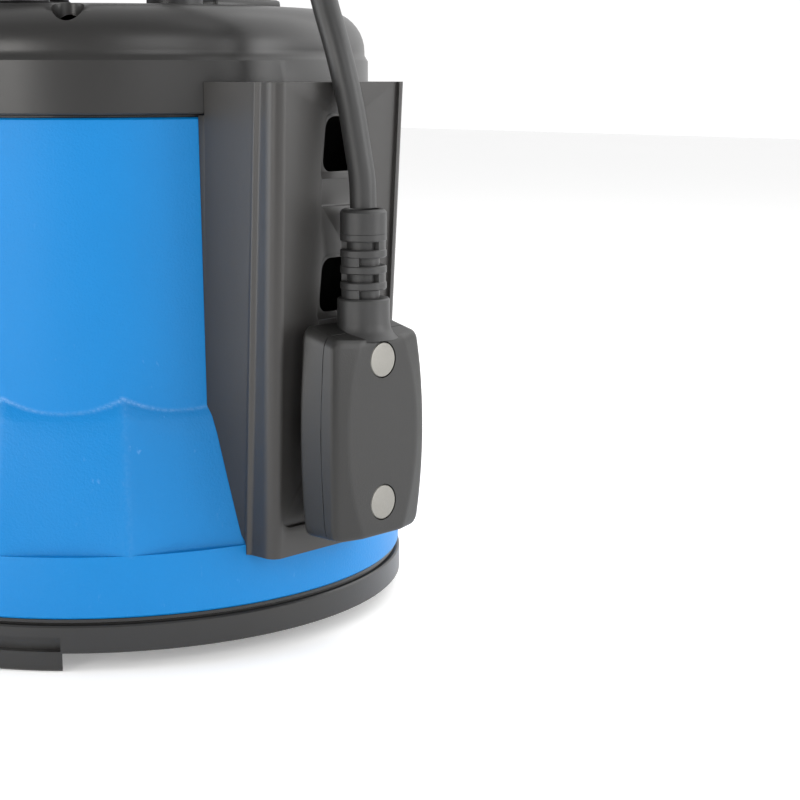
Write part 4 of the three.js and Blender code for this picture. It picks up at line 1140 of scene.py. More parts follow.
@dataclass
class Discharge(Assembly):
    """Union nut, elbow and stepped hose nozzle."""

    axis_x: float = -52.0 * MM
    axis_z: float = 255.7 * MM  # height of the nozzle's axis
    nut_radius: float = 25.6 * MM
    nut_bore: float = 21.3 * MM
    nut_ribs: int = 16
    pipe: float = 17.0 * MM
    bend: float = 21.0 * MM
    bend_steps: int = 14
    pipe_wall: float = 3.0 * MM
    rim_radius: float = 19.4 * MM
    hose_steps: tuple[tuple[float, float], ...] = (
        (18.5 * MM, 2.0 * MM), (16.0 * MM, 13.0 * MM), (12.5 * MM, 24.0 * MM))  # radius, start

    def build(self) -> None:
        """Builds the three pieces."""
        self.nut()
        self.elbow()
        self.nozzle()

    def nut(self) -> None:
        """Union nut: a turned ring with rounded grip ribs."""
        low, high = span("union_nut")
        radius, bore, lip = self.nut_radius, self.nut_bore, 17.6 * MM
        ring = Bench.turned("union_nut_body", [
            (bore, low.z), (radius - 0.6 * MM, low.z), (radius, low.z + 0.6 * MM),
            (radius, high.z - 2 * MM), (radius - 1.6 * MM, high.z - 0.4 * MM),
            (radius - 2.6 * MM, high.z), (lip, high.z), (lip, high.z - 2.8 * MM), (bore, high.z - 2.8 * MM),
        ], steps=96)
        rib = Bench.block("rib", (3 * MM, 3.6 * MM, high.z - low.z - 4 * MM),
                          (radius + 0.1 * MM, 0, (low.z + high.z) / 2 - 0.6 * MM), 1.1 * MM, 3)
        turns = [Matrix.Rotation(math.tau * i / self.nut_ribs, 4, "Z") for i in range(self.nut_ribs)]
        ribs = Bench.copies(rib, turns, [f"rib_{i}" for i in range(self.nut_ribs)])
        whole = Bench.joined("union_nut_ribbed", [ring, *ribs])
        Bench.moved(whole, Matrix.Translation((self.axis_x, 0, 0)))
        self.fit(whole, "nut", Slot.DARK, "union_nut")

    def elbow(self) -> None:
        """Elbow: a circle extruded up, spun a quarter turn and extruded out, then thickened."""
        low, _ = span("discharge_elbow")
        start = low.z + 1 * MM
        end = low.x - self.axis_x
        Bench.clear()
        bpy.ops.mesh.primitive_circle_add(vertices=64, radius=self.pipe, location=(0, 0, start))
        tube = bpy.context.object
        tube.name = "elbow"
        bpy.ops.object.transform_apply(location=True)
        bpy.ops.object.mode_set(mode="EDIT")
        rise = self.axis_z - self.bend - start
        bpy.ops.mesh.extrude_region_move(TRANSFORM_OT_translate={"value": (0, 0, rise)})
        for _ in range(self.bend_steps):
            self.next_ring(tube)
        bpy.ops.mesh.extrude_region_move(TRANSFORM_OT_translate={"value": (end + self.bend, 0, 0)})
        bpy.ops.mesh.select_all(action="SELECT")
        bpy.ops.mesh.normals_make_consistent(inside=False)
        Bench.done(tube)
        Bench.apply(tube, "SOLIDIFY", thickness=self.pipe_wall, offset=-1)
        bore, flange_radius = self.pipe - self.pipe_wall, 20.1 * MM
        flange = Bench.turned("flange", [
            (bore, low.z), (flange_radius, low.z), (flange_radius, low.z + 3 * MM), (bore, low.z + 3 * MM)])
        inner, outer = 15.5 * MM, self.rim_radius
        rim = Bench.turned("rim", [
            (inner, 0), (outer - 0.2 * MM, 0), (outer, 0.4 * MM), (outer, 2.6 * MM),
            (outer - 0.8 * MM, 3 * MM), (inner, 3 * MM)])
        Bench.moved(rim, Matrix.Translation((end, 0, self.axis_z)) @ Matrix.Rotation(math.pi / 2, 4, "Y"))
        rib = Bench.block("rib", (1.6 * MM, 2.4 * MM, 20 * MM), (inner, 0, self.axis_z - 15 * MM), 0.6 * MM)
        whole = Bench.joined("elbow_cast", [tube, flange, rim, rib])
        Bench.moved(whole, Matrix.Translation((self.axis_x, 0, 0)))
        self.fit(whole, "elbow", Slot.DARK, "discharge_elbow")

    def next_ring(self, tube: bpy.types.Object) -> None:
        """Extrudes the open end and turns it one step about the bend's centre.

        Args:
            tube: the elbow's pipe, in edit mode with its open end selected.
        """
        bpy.ops.mesh.extrude_region_move(TRANSFORM_OT_translate={"value": (0, 0, 0)})
        mesh = bmesh.from_edit_mesh(tube.data)
        centre = Vector((-self.bend, 0, self.axis_z - self.bend))
        turn = Matrix.Rotation(-math.pi / 2 / self.bend_steps, 3, "Y")
        for vertex in (v for v in mesh.verts if v.select):
            vertex.co = centre + turn @ (vertex.co - centre)
        bmesh.update_edit_mesh(tube.data)

    def nozzle(self) -> None:
        """Stepped hose nozzle: three barbed sizes on one bore."""
        low, high = span("hose_adapter")
        length = high.x - low.x
        outer, bore = self.rim_radius, 10 * MM
        points = [(bore, 0.0), (outer - 0.5 * MM, 0.0), (outer, 0.5 * MM), (outer, 3.6 * MM),
                  (outer - 0.8 * MM, 4.2 * MM)]
        for radius, x in self.hose_steps:
            points += [(radius - 1.4 * MM, x + 2.6 * MM), (radius - 1.4 * MM, x + 3 * MM),
                       (radius - 0.2 * MM, x + 4.6 * MM), (radius, x + 5.2 * MM),
                       (radius - 0.7 * MM, x + 7.4 * MM), (radius - 0.7 * MM, x + 7.8 * MM),
                       (radius - 0.2 * MM, x + 8.2 * MM), (radius - 1.3 * MM, x + 10.8 * MM)]
        points += [(bore + 1 * MM, length - 0.4 * MM), (bore + 0.7 * MM, length), (bore, length)]
        piece = Bench.turned("hose_nozzle", points, steps=96)
        place = Matrix.Translation((high.x, 0, (low.z + high.z) / 2))
        Bench.moved(piece, place @ Matrix.Rotation(-math.pi / 2, 4, "Y"))
        self.fit(piece, "elbow", Slot.BLACK, "hose_adapter")


@dataclass
class Glands(Assembly):
    """Cable glands on the cover: a flanged stem and a domed nut each."""

    way: float = 4.4 * MM
    stem_radius: float = 7.4 * MM
    flange_radius: float = 9.4 * MM
    flange_z: float = 206.3 * MM
    hexagon_radius: float = 10.1 * MM

    def build(self) -> None:
        """Builds both glands."""
        for name in ("sensor_gland", "mains_gland"):
            low, high = span(name)
            centre = (low + high) / 2
            flange = self.flange_radius
            stem = Bench.turned(name + "_stem", [
                (self.way, low.z), (self.stem_radius, low.z), (self.stem_radius, self.flange_z),
                (flange - 0.4 * MM, self.flange_z), (flange, self.flange_z + 0.6 * MM),
                (flange, high.z - 0.4 * MM), (flange - 0.4 * MM, high.z), (self.way, high.z)])
            Bench.moved(stem, Matrix.Translation((centre.x, centre.y, 0)))
            self.fit(stem, "pump", Slot.BLACK, name)
            self.dome(name + "_nut", centre)

    def dome(self, node: str, centre: Vector) -> None:
        """Makes a nut: a hexagon with chamfered corners under a dome that closes on the cable.

        Args:
            node: the nut's CAD node.
            centre: a point on its axis.
        """
        low, high = span(node)
        way, hexagon_radius = self.way, self.hexagon_radius
        dome = Bench.turned(node + "_dome", [
            (way, low.z + 1 * MM), (8.6 * MM, low.z + 1 * MM), (8.8 * MM, low.z + 6.5 * MM),
            (8.2 * MM, low.z + 8.6 * MM), (6.9 * MM, high.z - 0.4 * MM), (6.3 * MM, high.z),
            (way + 0.4 * MM, high.z), (way, high.z - 0.4 * MM)])
        hexagon = Bench.turned(node + "_hex", [
            (way + 1 * MM, low.z), (hexagon_radius - 0.4 * MM, low.z), (hexagon_radius, low.z + 0.5 * MM),
            (hexagon_radius, low.z + 6 * MM), (hexagon_radius - 0.6 * MM, low.z + 6.6 * MM),
            (way + 1 * MM, low.z + 6.6 * MM),
        ], steps=6)
        Bench.take(hexagon)
        bpy.ops.object.shade_flat()
        whole = Bench.joined(node + "_domed", [dome, hexagon])
        Bench.moved(whole, Matrix.Translation((centre.x, centre.y, 0)))
        self.fit(whole, "pump", Slot.BLACK, node)


@dataclass
class Screws(Assembly):
    """Steel pan-head screws in the cover and the handle's pads."""

    nodes: tuple[str, ...] = ("cover_screw_1", "cover_screw_2", "cover_screw_3", "cover_screw_4",
                              "handle_screw_1", "handle_screw_2")
    recess: float = 1.5 * MM  # depth of the cross

    def build(self) -> None:
        """Builds one screw in each CAD screw's place."""
        for node in self.nodes:
            self.screw(node)

    def screw(self, node: str) -> None:
        """Makes a domed head with a cross recess, on a plain shank. A head's parts follow its radius.

        Args:
            node: the screw's CAD node.
        """
        low, high = span(node)
        centre = (low + high) / 2
        head = (high.x - low.x) / 2
        under = high.z - 0.72 * head
        piece = Bench.turned(node + "_pan", [
            (0, low.z), (0.45 * head, low.z), (0.5 * head, low.z + 0.4 * MM), (0.5 * head, under),
            (0.96 * head, under), (head, under + 0.1 * head), (head, under + 0.38 * head),
            (0.9 * head, high.z - 0.16 * head), (0.66 * head, high.z - 0.05 * head),
            (0.3 * head, high.z), (0, high.z)], steps=48)
        for size in ((1.15 * head, 0.24 * head), (0.24 * head, 1.15 * head)):
            cross = Bench.block("cross", (*size, 2 * self.recess), (0, 0, high.z), 0.0)
            Bench.carve(piece, cross)
        Bench.take(piece)
        bpy.ops.object.shade_smooth_by_angle(angle=SMOOTH_ANGLE)
        Bench.moved(piece, Matrix.Translation((centre.x, centre.y, 0)))
        self.fit(piece, "pump", Slot.STEEL, node)


# ---------------------------------------------------------------- rail


@dataclass
class Rail(Assembly):
    """Hollow rail down the casing, with a recessed track and three hook slots.

    Attributes:
        casing: the casing that it is fitted to.
    """

    casing: Casing
    foot_face: float = 112.0 * MM  # the face's distance from the axis at the rail's foot
    top_face: float = 119.0 * MM
    half: float = 26.5 * MM
    crease: float = 12.0 * MM  # how far behind the face the side walls begin to splay
    splay: float = 0.2175
    back: float = 80.0 * MM
    wall: float = 2.6 * MM
    corner: float = 3.5 * MM
    track_depth: float = 1.2 * MM
    track_foot: float = 43.0 * MM
    track_foot_half: float = 22.6 * MM
    track_draft: float = 0.016
    slot_count: int = 3
    slot_pitch: float = 44.0 * MM
    lowest_slot: float = 75.1 * MM
    slot_half_height: float = 8.5 * MM
    slot_half_top: float = 5.5 * MM
    slot_half_foot: float = 7.5 * MM
    cover_radius: float = 93.0 * MM
    fit_gap: float = 0.25 * MM

    def __post_init__(self) -> None:
        """Takes the rail's ends from its CAD node."""
        low, high = span("sensor_rail")
        self.low = low.z
        self.high = high.z

    def face(self, z: float) -> float:
        """Distance of the rail's face from the axis at a height."""
        return self.foot_face + (self.top_face - self.foot_face) * (z - self.low) / (self.high - self.low)

    def track_half(self, z: float) -> float:
        """Half-width of the track at a height."""
        return self.track_foot_half + self.track_draft * (z - self.track_foot)

    def plan(self, z: float, inset: float) -> list[Point]:
        """Draws half the rail's plan, from the back edge round to the face's middle.

        A low bead runs up the side wall, and a round corner leads to the track's rim.

        Args:
            z: the height.
            inset: how far inside the outline the plan lies.

        Returns:
            The plan's points.
        """
        face = self.face(z)
        centre = self.track_half(z) + 0.2 * MM
        half = centre + self.corner
        crease = face - self.crease
        side = [(self.back, self.half + self.splay * (crease - self.back))]
        side += [(crease + ahead * MM, self.half + out * MM) for ahead, out in (
            (-0.9, 0.2), (-0.2, 0.45), (0.5, 0.4), (1.1, 0.05), (1.7, -0.25), (2.5, -0.3))]
        turn = [(face - self.corner * (1 - math.sin(t)), centre + self.corner * math.cos(t))
                for t in (math.pi / 16 * i for i in range(9))]
        points = [*side, (face - self.corner - 2 * MM, half - 0.1 * MM), *turn, (face, 0.0)]
        return [(x - inset if x > self.back else x, max(0.0, y - inset), z) for x, y in points]

    def prism(self, name: str, inset: float, low: float, high: float) -> bpy.types.Object:
        """Extrudes the rail's plan into a closed bar, drafted between two heights.

        Args:
            name: the new piece's name.
            inset: how far inside the rail's outline its sides lie.
            low: its lower end.
            high: its upper end.

        Returns:
            The bar.
        """
        halves = [self.plan(z, inset) for z in (low, high)]
        loops = [[(x, -y, z) for x, y, z in h] + [(x, y, z) for x, y, z in reversed(h[:-1])]
                 for h in halves]
        Bench.clear()
        bpy.ops.mesh.primitive_circle_add(vertices=len(loops[0]), radius=1.0, fill_type="NGON")
        piece = bpy.context.object
        piece.name = name
        bpy.ops.object.mode_set(mode="EDIT")
        bpy.ops.mesh.select_all(action="SELECT")
        bpy.ops.mesh.extrude_region_move(TRANSFORM_OT_translate={"value": (0, 0, 1.0)})
        bpy.ops.object.mode_set(mode="OBJECT")
        count = len(loops[0])
        first = math.atan2(piece.data.vertices[0].co.y, piece.data.vertices[0].co.x)
        for vertex in piece.data.vertices:
            level = 1 if vertex.co.z > 0.5 else 0
            turn = (math.atan2(vertex.co.y, vertex.co.x) - first) / math.tau * count
            vertex.co = loops[level][int(round(turn)) % count]
        Bench.edit(piece)
        bpy.ops.mesh.normals_make_consistent(inside=False)
        return Bench.done(piece)

    def build(self) -> None:
        """Cuts the hollow, the casing's own shape, the track and the slots out of the bar."""
        rail = self.prism("rail", 0.0, self.low, self.high)
        self.round_ends(rail)
        hollow = self.prism("hollow", self.wall, self.low + self.wall, self.high - self.wall)
        inside = Bench.block("inside", (0.1, 0.2, 0.4), (0.148, 0, 0.1))
        Bench.carve(hollow, inside, "INTERSECT")
        Bench.carve(rail, hollow)
        Bench.carve(rail, self.casing_tool())
        Bench.carve(rail, self.track_tool())
        for i in range(self.slot_count):
            self.cut_slot(rail, self.lowest_slot + i * self.slot_pitch)
        Bench.soften(rail, 0.3 * MM, 2, 38)
        self.fit(rail, "pump", Slot.RAIL, "sensor_rail")

    def round_ends(self, rail: bpy.types.Object) -> None:
        """Rounds the rims of the rail's two ends.

        Args:
            rail: the bar, before it is hollowed.
        """
        Bench.edit(rail)
        mesh = bmesh.from_edit_mesh(rail.data)
        for edge in mesh.edges:
            level = all(abs(v.co.z - edge.verts[0].co.z) < 1e-6 for v in edge.verts)
            forward = any(v.co.x > self.back + 1 * MM for v in edge.verts)
            edge.select_set(False)
            if level and forward and len(edge.link_faces) == 2:
                edge.select_set(True)
        bmesh.update_edit_mesh(rail.data)
        bpy.ops.mesh.bevel(offset=1.6 * MM, segments=4, affect="EDGES")
        Bench.done(rail)

    def casing_tool(self) -> bpy.types.Object:
        """The casing's and cover's outside with a small clearance, as a cutter."""
        gap = self.fit_gap
        casing = self.casing
        under, over, inner = casing.foot - 20 * MM, casing.top + 40 * MM, 60 * MM
        rows = [(casing.band_radius + gap, under), (casing.band_radius + gap, casing.crease)]
        rows += [(casing.radius + gap, casing.crease + h) for h in casing.rows()[1:]]
        rows += [(casing.radius + gap, casing.top + 0.5 * MM),
                 (self.cover_radius + gap, casing.top + 0.6 * MM),
                 (self.cover_radius + gap, over), (inner, over), (inner, under)]
        tool = Bench.turned("casing_tool", rows, steps=casing.flutes * 12)
        return Bench.reshape(tool, lambda place: casing.spread(
            place, inner + 20 * MM, casing.flute_height, gap))

    def track_tool(self) -> bpy.types.Object:
        """The shallow track: a drafted block with rounded lower corners."""
        height = self.high + 10 * MM - self.track_foot
        tool = Bench.block("track", (20 * MM, 2.0, height), (0, 0, height / 2), 0)
        Bench.reshape(tool, lambda p: Vector(
            (p.x, math.copysign(self.track_half(self.track_foot + p.z), p.y), p.z)))
        Bench.edit(tool)
        mesh = bmesh.from_edit_mesh(tool.data)
        for edge in mesh.edges:
            a, b = (v.co for v in edge.verts)
            low_side = a.z < 1e-6 and b.z < 1e-6 and abs(a.y - b.y) < 1e-6 and abs(a.x - b.x) > 1e-6
            edge.select_set(low_side)
        bmesh.update_edit_mesh(tool.data)
        bpy.ops.mesh.bevel(offset=4 * MM, segments=6, affect="EDGES")
        Bench.done(tool)

        def lean(place: Vector) -> Vector:
            """Leans the block with the rail's face."""
            z = self.track_foot + place.z
            return Vector((place.x + 10 * MM + self.face(z) - self.track_depth, place.y, z))

        return Bench.reshape(tool, lean)

    def cut_slot(self, rail: bpy.types.Object, middle: float) -> None:
        """Cuts one bell-shaped slot with a sunk frame and a ramp below it.

        Args:
            rail: the rail.
            middle: height of the slot's middle.
        """
        for name, grow, deep, drop in (("frame", 1.1 * MM, 0.7 * MM, 1.2 * MM), ("slot", 0.0, 9 * MM, 0.0)):
            tool = self.bell(name, middle, grow, drop)
            surface = self.face(middle) - self.track_depth
            Bench.moved(tool, Matrix.Translation((surface - deep, 0, 0)))
            Bench.carve(rail, tool)
        ramp = Bench.block("ramp", (4 * MM, 15.5 * MM, 9 * MM), (0, 0, 0), 0.8 * MM, 3)
        lean = Matrix.Rotation(math.radians(5), 4, "Y")
        below = middle - 15 * MM
        place = Vector((self.face(below) - self.track_depth + 1.45 * MM, 0, below))
        Bench.moved(ramp, Matrix.Translation(place) @ lean)
        Bench.carve(rail, ramp)

    def bell(self, name: str, middle: float, grow: float, drop: float) -> bpy.types.Object:
        """Makes a bell outline, narrower at its top, extruded along +X from zero.

        Args:
            name: the new piece's name.
            middle: height of the slot's middle.
            grow: how far outside the slot's outline it lies.
            drop: how much lower its foot is.

        Returns:
            The cutter.
        """
        low, high = middle - self.slot_half_height - grow - drop, middle + self.slot_half_height + grow
        top, foot = self.slot_half_top + grow, self.slot_half_foot + grow
        tool = Bench.block(name, (24 * MM, 2.0, high - low), (12 * MM, 0, (low + high) / 2), 0)
        Bench.reshape(tool, lambda p: Vector((p.x, math.copysign(top if p.z > middle else foot, p.y), p.z)))
        Bench.edit(tool)
        mesh = bmesh.from_edit_mesh(tool.data)
        for edge in mesh.edges:
            a, b = (v.co for v in edge.verts)
            edge.select_set(abs(a.y - b.y) < 1e-6 and abs(a.z - b.z) < 1e-6)
        bmesh.update_edit_mesh(tool.data)
        bpy.ops.mesh.bevel(offset=(3.6 * MM if grow == 0 else 2.2 * MM), segments=6, affect="EDGES")
        return Bench.done(tool)


# ---------------------------------------------------------------- sensor


@dataclass
class Sensor(Assembly):
    """Level sensor: pillow-shaped case in two shells, two electrodes and a strain relief."""

    half_width: float = 18.8 * MM
    corner: float = 3.3 * MM
    rim: float = 1.5 * MM
    top_rise: float = 2.8 * MM  # how far the back of the top stands over the case's own height
    top_fall: float = 4.4 * MM  # how much lower the top is at the front than at the back
    bulge: float = 1.9 * MM
    flat: float = 8.5 * MM  # half-width of the front's flat at its ends
    flat_swell: float = 7.0 * MM  # how much wider the flat is at its middle
    bevel_slope: float = 0.28
    parting_gap: float = 0.12 * MM
    electrode_radius: float = 5.5 * MM
    electrode_gap: float = 0.25 * MM
    relief_bore: float = 4.15 * MM
    relief_core: float = 5.1 * MM
    relief_radius: float = 7.25 * MM
    relief_collar: float = 8.25 * MM
    relief_ribs: int = 4
    relief_gap: float = 2.5 * MM
    bridge_sweep: float = 215.0  # degrees

    def __post_init__(self) -> None:
        """Takes the case's box from its two CAD nodes."""
        low, high = span("sensor_housing")
        _, front = span("sensor_cover")
        near = Vector((low.x, -self.half_width, low.z))
        far = Vector((front.x, self.half_width, front.z))
        self.face = front.x
        self.split = high.x
        self.centre = (near + far) / 2
        self.half = (far - near) / 2

    def pillow(self, name: str) -> bpy.types.Object:
        """Shapes the whole case as one closed mesh from a finely divided cube.

        Args:
            name: the new piece's name.

        Returns:
            The case.
        """
        Bench.clear()
        bpy.ops.mesh.primitive_cube_add(size=2)
        piece = bpy.context.object
        piece.name = name
        bpy.ops.object.mode_set(mode="EDIT")
        bpy.ops.mesh.subdivide(number_cuts=44)
        bpy.ops.object.mode_set(mode="OBJECT")
        Bench.reshape(piece, self.shape_case)
        Bench.edit(piece)
        bpy.ops.mesh.normals_make_consistent(inside=False)
        return Bench.done(piece)

    def shape_case(self, place: Vector) -> Vector:
        """Takes a point of the cube to the case: rounded corners and rims, bulged sides, lens front.

        Args:
            place: a point on a cube from -1 to 1.

        Returns:
            Its place on the case.
        """
        hx, hy, hz = self.half
        y, z = place.y * hy, place.z * hz
        core_y, core_z = hy - self.corner, hz - self.corner
        near_y, near_z = max(-core_y, min(core_y, y)), max(-core_z, min(core_z, z))
        dy, dz = y - near_y, z - near_z
        reach = math.hypot(dy, dz)
        if reach > 1e-9:
            fit = max(abs(dy), abs(dz)) / reach
            dy, dz, reach = dy * fit, dz * fit, reach * fit
        inside = self.corner - reach if reach else min(hy - abs(y), hz - abs(z))
        x = place.x * hx
        over, along = abs(x) - (hx - self.rim), self.rim - inside
        if over > 0 and along > 0 and reach > 1e-9:
            size = math.hypot(over, along)
            fit = max(over, along) / size
            x = math.copysign(hx - self.rim + over * fit, x)
            pull = along * (1 - fit) / reach
            dy, dz = dy * (1 - pull), dz * (1 - pull)
        y, z = near_y + dy, near_z + dz
        swell = 1 - (z / hz) ** 2
        y *= 1 + self.bulge / hy * swell
        flat = self.flat + self.flat_swell * swell
        share = max(0.0, min(1.0, x / (hx - self.rim)))
        x -= share * self.bevel_slope * max(0.0, abs(y) - flat)
        lifted = max(0.0, z / hz - 0.6) / 0.4
        z -= lifted * (self.top_fall * (x + hx) / (2 * hx) - self.top_rise)
        return self.centre + Vector((x, y, z))

    def half_case(self, name: str, front: bool) -> bpy.types.Object:
        """Makes one shell of the case: the pillow cut at the parting line and closed there.

        Args:
            name: the new piece's name.
            front: keeps the front, and otherwise the rear.

        Returns:
            The shell.
        """
        piece = self.pillow(name)
        gap = self.parting_gap
        Bench.edit(piece)
        bpy.ops.mesh.bisect(
            plane_co=(self.split + (gap if front else -gap), 0, 0), plane_no=(1, 0, 0), use_fill=True,
            clear_inner=front, clear_outer=not front)
        bpy.ops.mesh.select_all(action="SELECT")
        bpy.ops.mesh.normals_make_consistent(inside=False)
        return Bench.done(piece)

    @staticmethod
    def level_shading(shell: bpy.types.Object) -> None:
        """Lets the large faces lead the shading round the small ones of the rims."""
        Bench.take(shell)
        bpy.ops.object.shade_smooth_by_angle(angle=SMOOTH_ANGLE)
        Bench.apply(shell, "WEIGHTED_NORMAL", keep_sharp=True)

    def build(self) -> None:
        """Builds the shells, electrodes and strain relief."""
        self.build_shells()
        self.build_electrodes()
        self.build_relief()

    def build_shells(self) -> None:
        """Rear shell, and front shell with the electrodes' seats."""
        rear = self.half_case("sensor_rear", False)
        self.level_shading(rear)
        self.fit(rear, "sensor", Slot.SENSOR, "sensor_housing")
        front = self.half_case("sensor_front", True)
        for node in ("lower_electrode", "upper_electrode"):
            low, high = span(node)
            centre = (low + high) / 2
            seat = Bench.rod("seat", self.electrode_radius + self.electrode_gap, self.split + 1 * MM,
                             self.face + 2 * MM, 64, "X", (0, centre.y, centre.z))
            Bench.carve(front, seat)
        self.level_shading(front)
        self.fit(front, "sensor", Slot.SENSOR, "sensor_cover")

    def build_electrodes(self) -> None:
        """Flush steel discs with a fine softened rim."""
        for node in ("lower_electrode", "upper_electrode"):
            low, high = span(node)
            centre = (low + high) / 2
            radius = self.electrode_radius
            disc = Bench.turned(node + "_disc", [
                (0, 0), (radius, 0), (radius, 4.4 * MM), (radius - 0.25 * MM, 4.7 * MM),
                (radius - 1.2 * MM, 4.78 * MM), (0, 4.85 * MM)], steps=72)
            place = Matrix.Translation((self.face - 4.75 * MM, centre.y, centre.z))
            Bench.moved(disc, place @ Matrix.Rotation(math.pi / 2, 4, "Y"))
            self.fit(disc, "sensor", Slot.STAINLESS, node)

    def build_relief(self) -> None:
        """Strain relief: a flared collar, and ribs joined by bridges on alternate sides."""
        low, high = span("strain_relief")
        centre = (low + high) / 2
        foot = low.z - 2.4 * MM
        bore, core = self.relief_bore, self.relief_core
        outer, collar = self.relief_radius, self.relief_collar
        ribs_z = low.z + 10.3 * MM
        base = Bench.turned("relief_collar", [
            (bore, foot + 1 * MM), (collar + 2.6 * MM, foot), (collar + 1.2 * MM, foot + 1.3 * MM),
            (collar + 0.35 * MM, foot + 3.0 * MM), (collar, foot + 5.2 * MM), (collar, low.z + 9.6 * MM),
            (collar - 0.4 * MM, ribs_z - 0.2 * MM), (outer - 0.4 * MM, ribs_z),
            (bore, ribs_z)], steps=72)
        parts = [base, Bench.turned("relief_core", [
            (bore, low.z + 9 * MM), (core, low.z + 9 * MM),
            (core, high.z - 3 * MM), (bore, high.z - 3 * MM)])]
        level = (high.z - 7.4 * MM - ribs_z) / self.relief_ribs
        for i in range(self.relief_ribs):
            z = ribs_z + i * level
            parts.append(self.bridge(z - 0.3 * MM, i))
            parts.append(self.rib(z + self.relief_gap, z + level))
        parts.append(Bench.turned("relief_top", [
            (bore, high.z - 7.6 * MM), (outer, high.z - 7.6 * MM), (outer, high.z - 1 * MM),
            (outer - 0.5 * MM, high.z - 0.3 * MM), (outer - 1.1 * MM, high.z),
            (bore + 1.0 * MM, high.z), (bore + 0.3 * MM, high.z - 0.8 * MM),
            (bore, high.z - 2 * MM)], steps=72))
        whole = Bench.joined("strain_relief_ribbed", parts)
        Bench.moved(whole, Matrix.Translation((centre.x, centre.y, 0)))
        self.fit(whole, "sensor", Slot.RUBBER, "strain_relief")

    def rib(self, low: float, high: float) -> bpy.types.Object:
        """Makes one full ring of the relief, with softened rims.

        Args:
            low: its lower end.
            high: its upper end.

        Returns:
            The ring.
        """
        inner, outer, soft = self.relief_core - 0.3 * MM, self.relief_radius, 0.35 * MM
        return Bench.turned("rib", [
            (inner, low), (outer - soft, low), (outer, low + soft), (outer, high - soft),
            (outer - soft, high), (inner, high)], steps=72)

    def bridge(self, low: float, level: int) -> bpy.types.Object:
        """Makes the web between two ribs, open towards alternate sides.

        Args:
            low: its lower end.
            level: which gap it is in, counted from below.

        Returns:
            The web, which runs a little into the ribs over and under it.
        """
        inner, outer = self.relief_core - 0.2 * MM, self.relief_radius - 0.3 * MM
        high = low + self.relief_gap + 0.6 * MM
        sweep = math.radians(self.bridge_sweep)
        open_towards = math.radians(-75 if level % 2 else 15)
        start = open_towards + (math.tau - sweep) / 2
        return Bench.turned("bridge", [(inner, low), (outer, low), (outer, high), (inner, high)],
                            steps=40, sweep=sweep, start=start)


@dataclass
class Cable(Assembly):
    """The sensor's flex, from its gland over in one arch to the strain relief."""

    diameter: float = 8.2 * MM
    bend_start: Point = (0.1108, -0.0048, 0.219)
    bend_end: Point = (0.1253, -0.0009, 0.158)
    route_mm: tuple[Point, ...] = (
        (39.2, 0, 222.9), (39.9, 0, 231), (43.2, -0.2, 240), (49.4, -0.6, 248), (58, -1.2, 254),
        (68, -1.9, 256.9), (78, -2.6, 256.7), (87.5, -3.3, 253.4), (95.3, -3.9, 247.6),
        (101.6, -4.3, 240), (106.4, -4.6, 231), (110.8, -4.8, 219), (115.2, -4.6, 205.5),
        (120.3, -3.9, 190.5), (123.5, -2.3, 175.4), (125.3, -0.9, 161.4), (126.4, -0.2, 152.6),
        (126.6, 0, 143.8),
    )

    def knots(self) -> list[Vector]:
        """The route's points in metres."""
        return [Vector(place) * MM for place in self.route_mm]

    def smooth_route(self, between: int = 8) -> list[Point]:
        """Draws a Catmull-Rom curve through the route's points.

        Args:
            between: points on each stretch.

        Returns:
            The curve's points in metres.
        """
        knots = self.knots()
        ends = [2 * knots[0] - knots[1], *knots, 2 * knots[-1] - knots[-2]]
        line: list[Point] = []
        for a, b, c, d in zip(ends, ends[1:], ends[2:], ends[3:]):
            for i in range(between):
                t = i / between
                point = 0.5 * (2 * b + (c - a) * t + (2 * a - 5 * b + 4 * c - d) * t * t
                               + (3 * b - a - 3 * c + d) * t ** 3)
                line.append(tuple(point))
        line.append(tuple(knots[-1]))
        return line

    def build(self) -> None:
        line = self.smooth_route()
        flex = Bench.swept("sensor_flex", line, self.diameter / 2, 32)
        self.paints.paint(flex, Slot.RUBBER)
        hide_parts("sensor_cable")
        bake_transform(flex)


# ---------------------------------------------------------------- studio


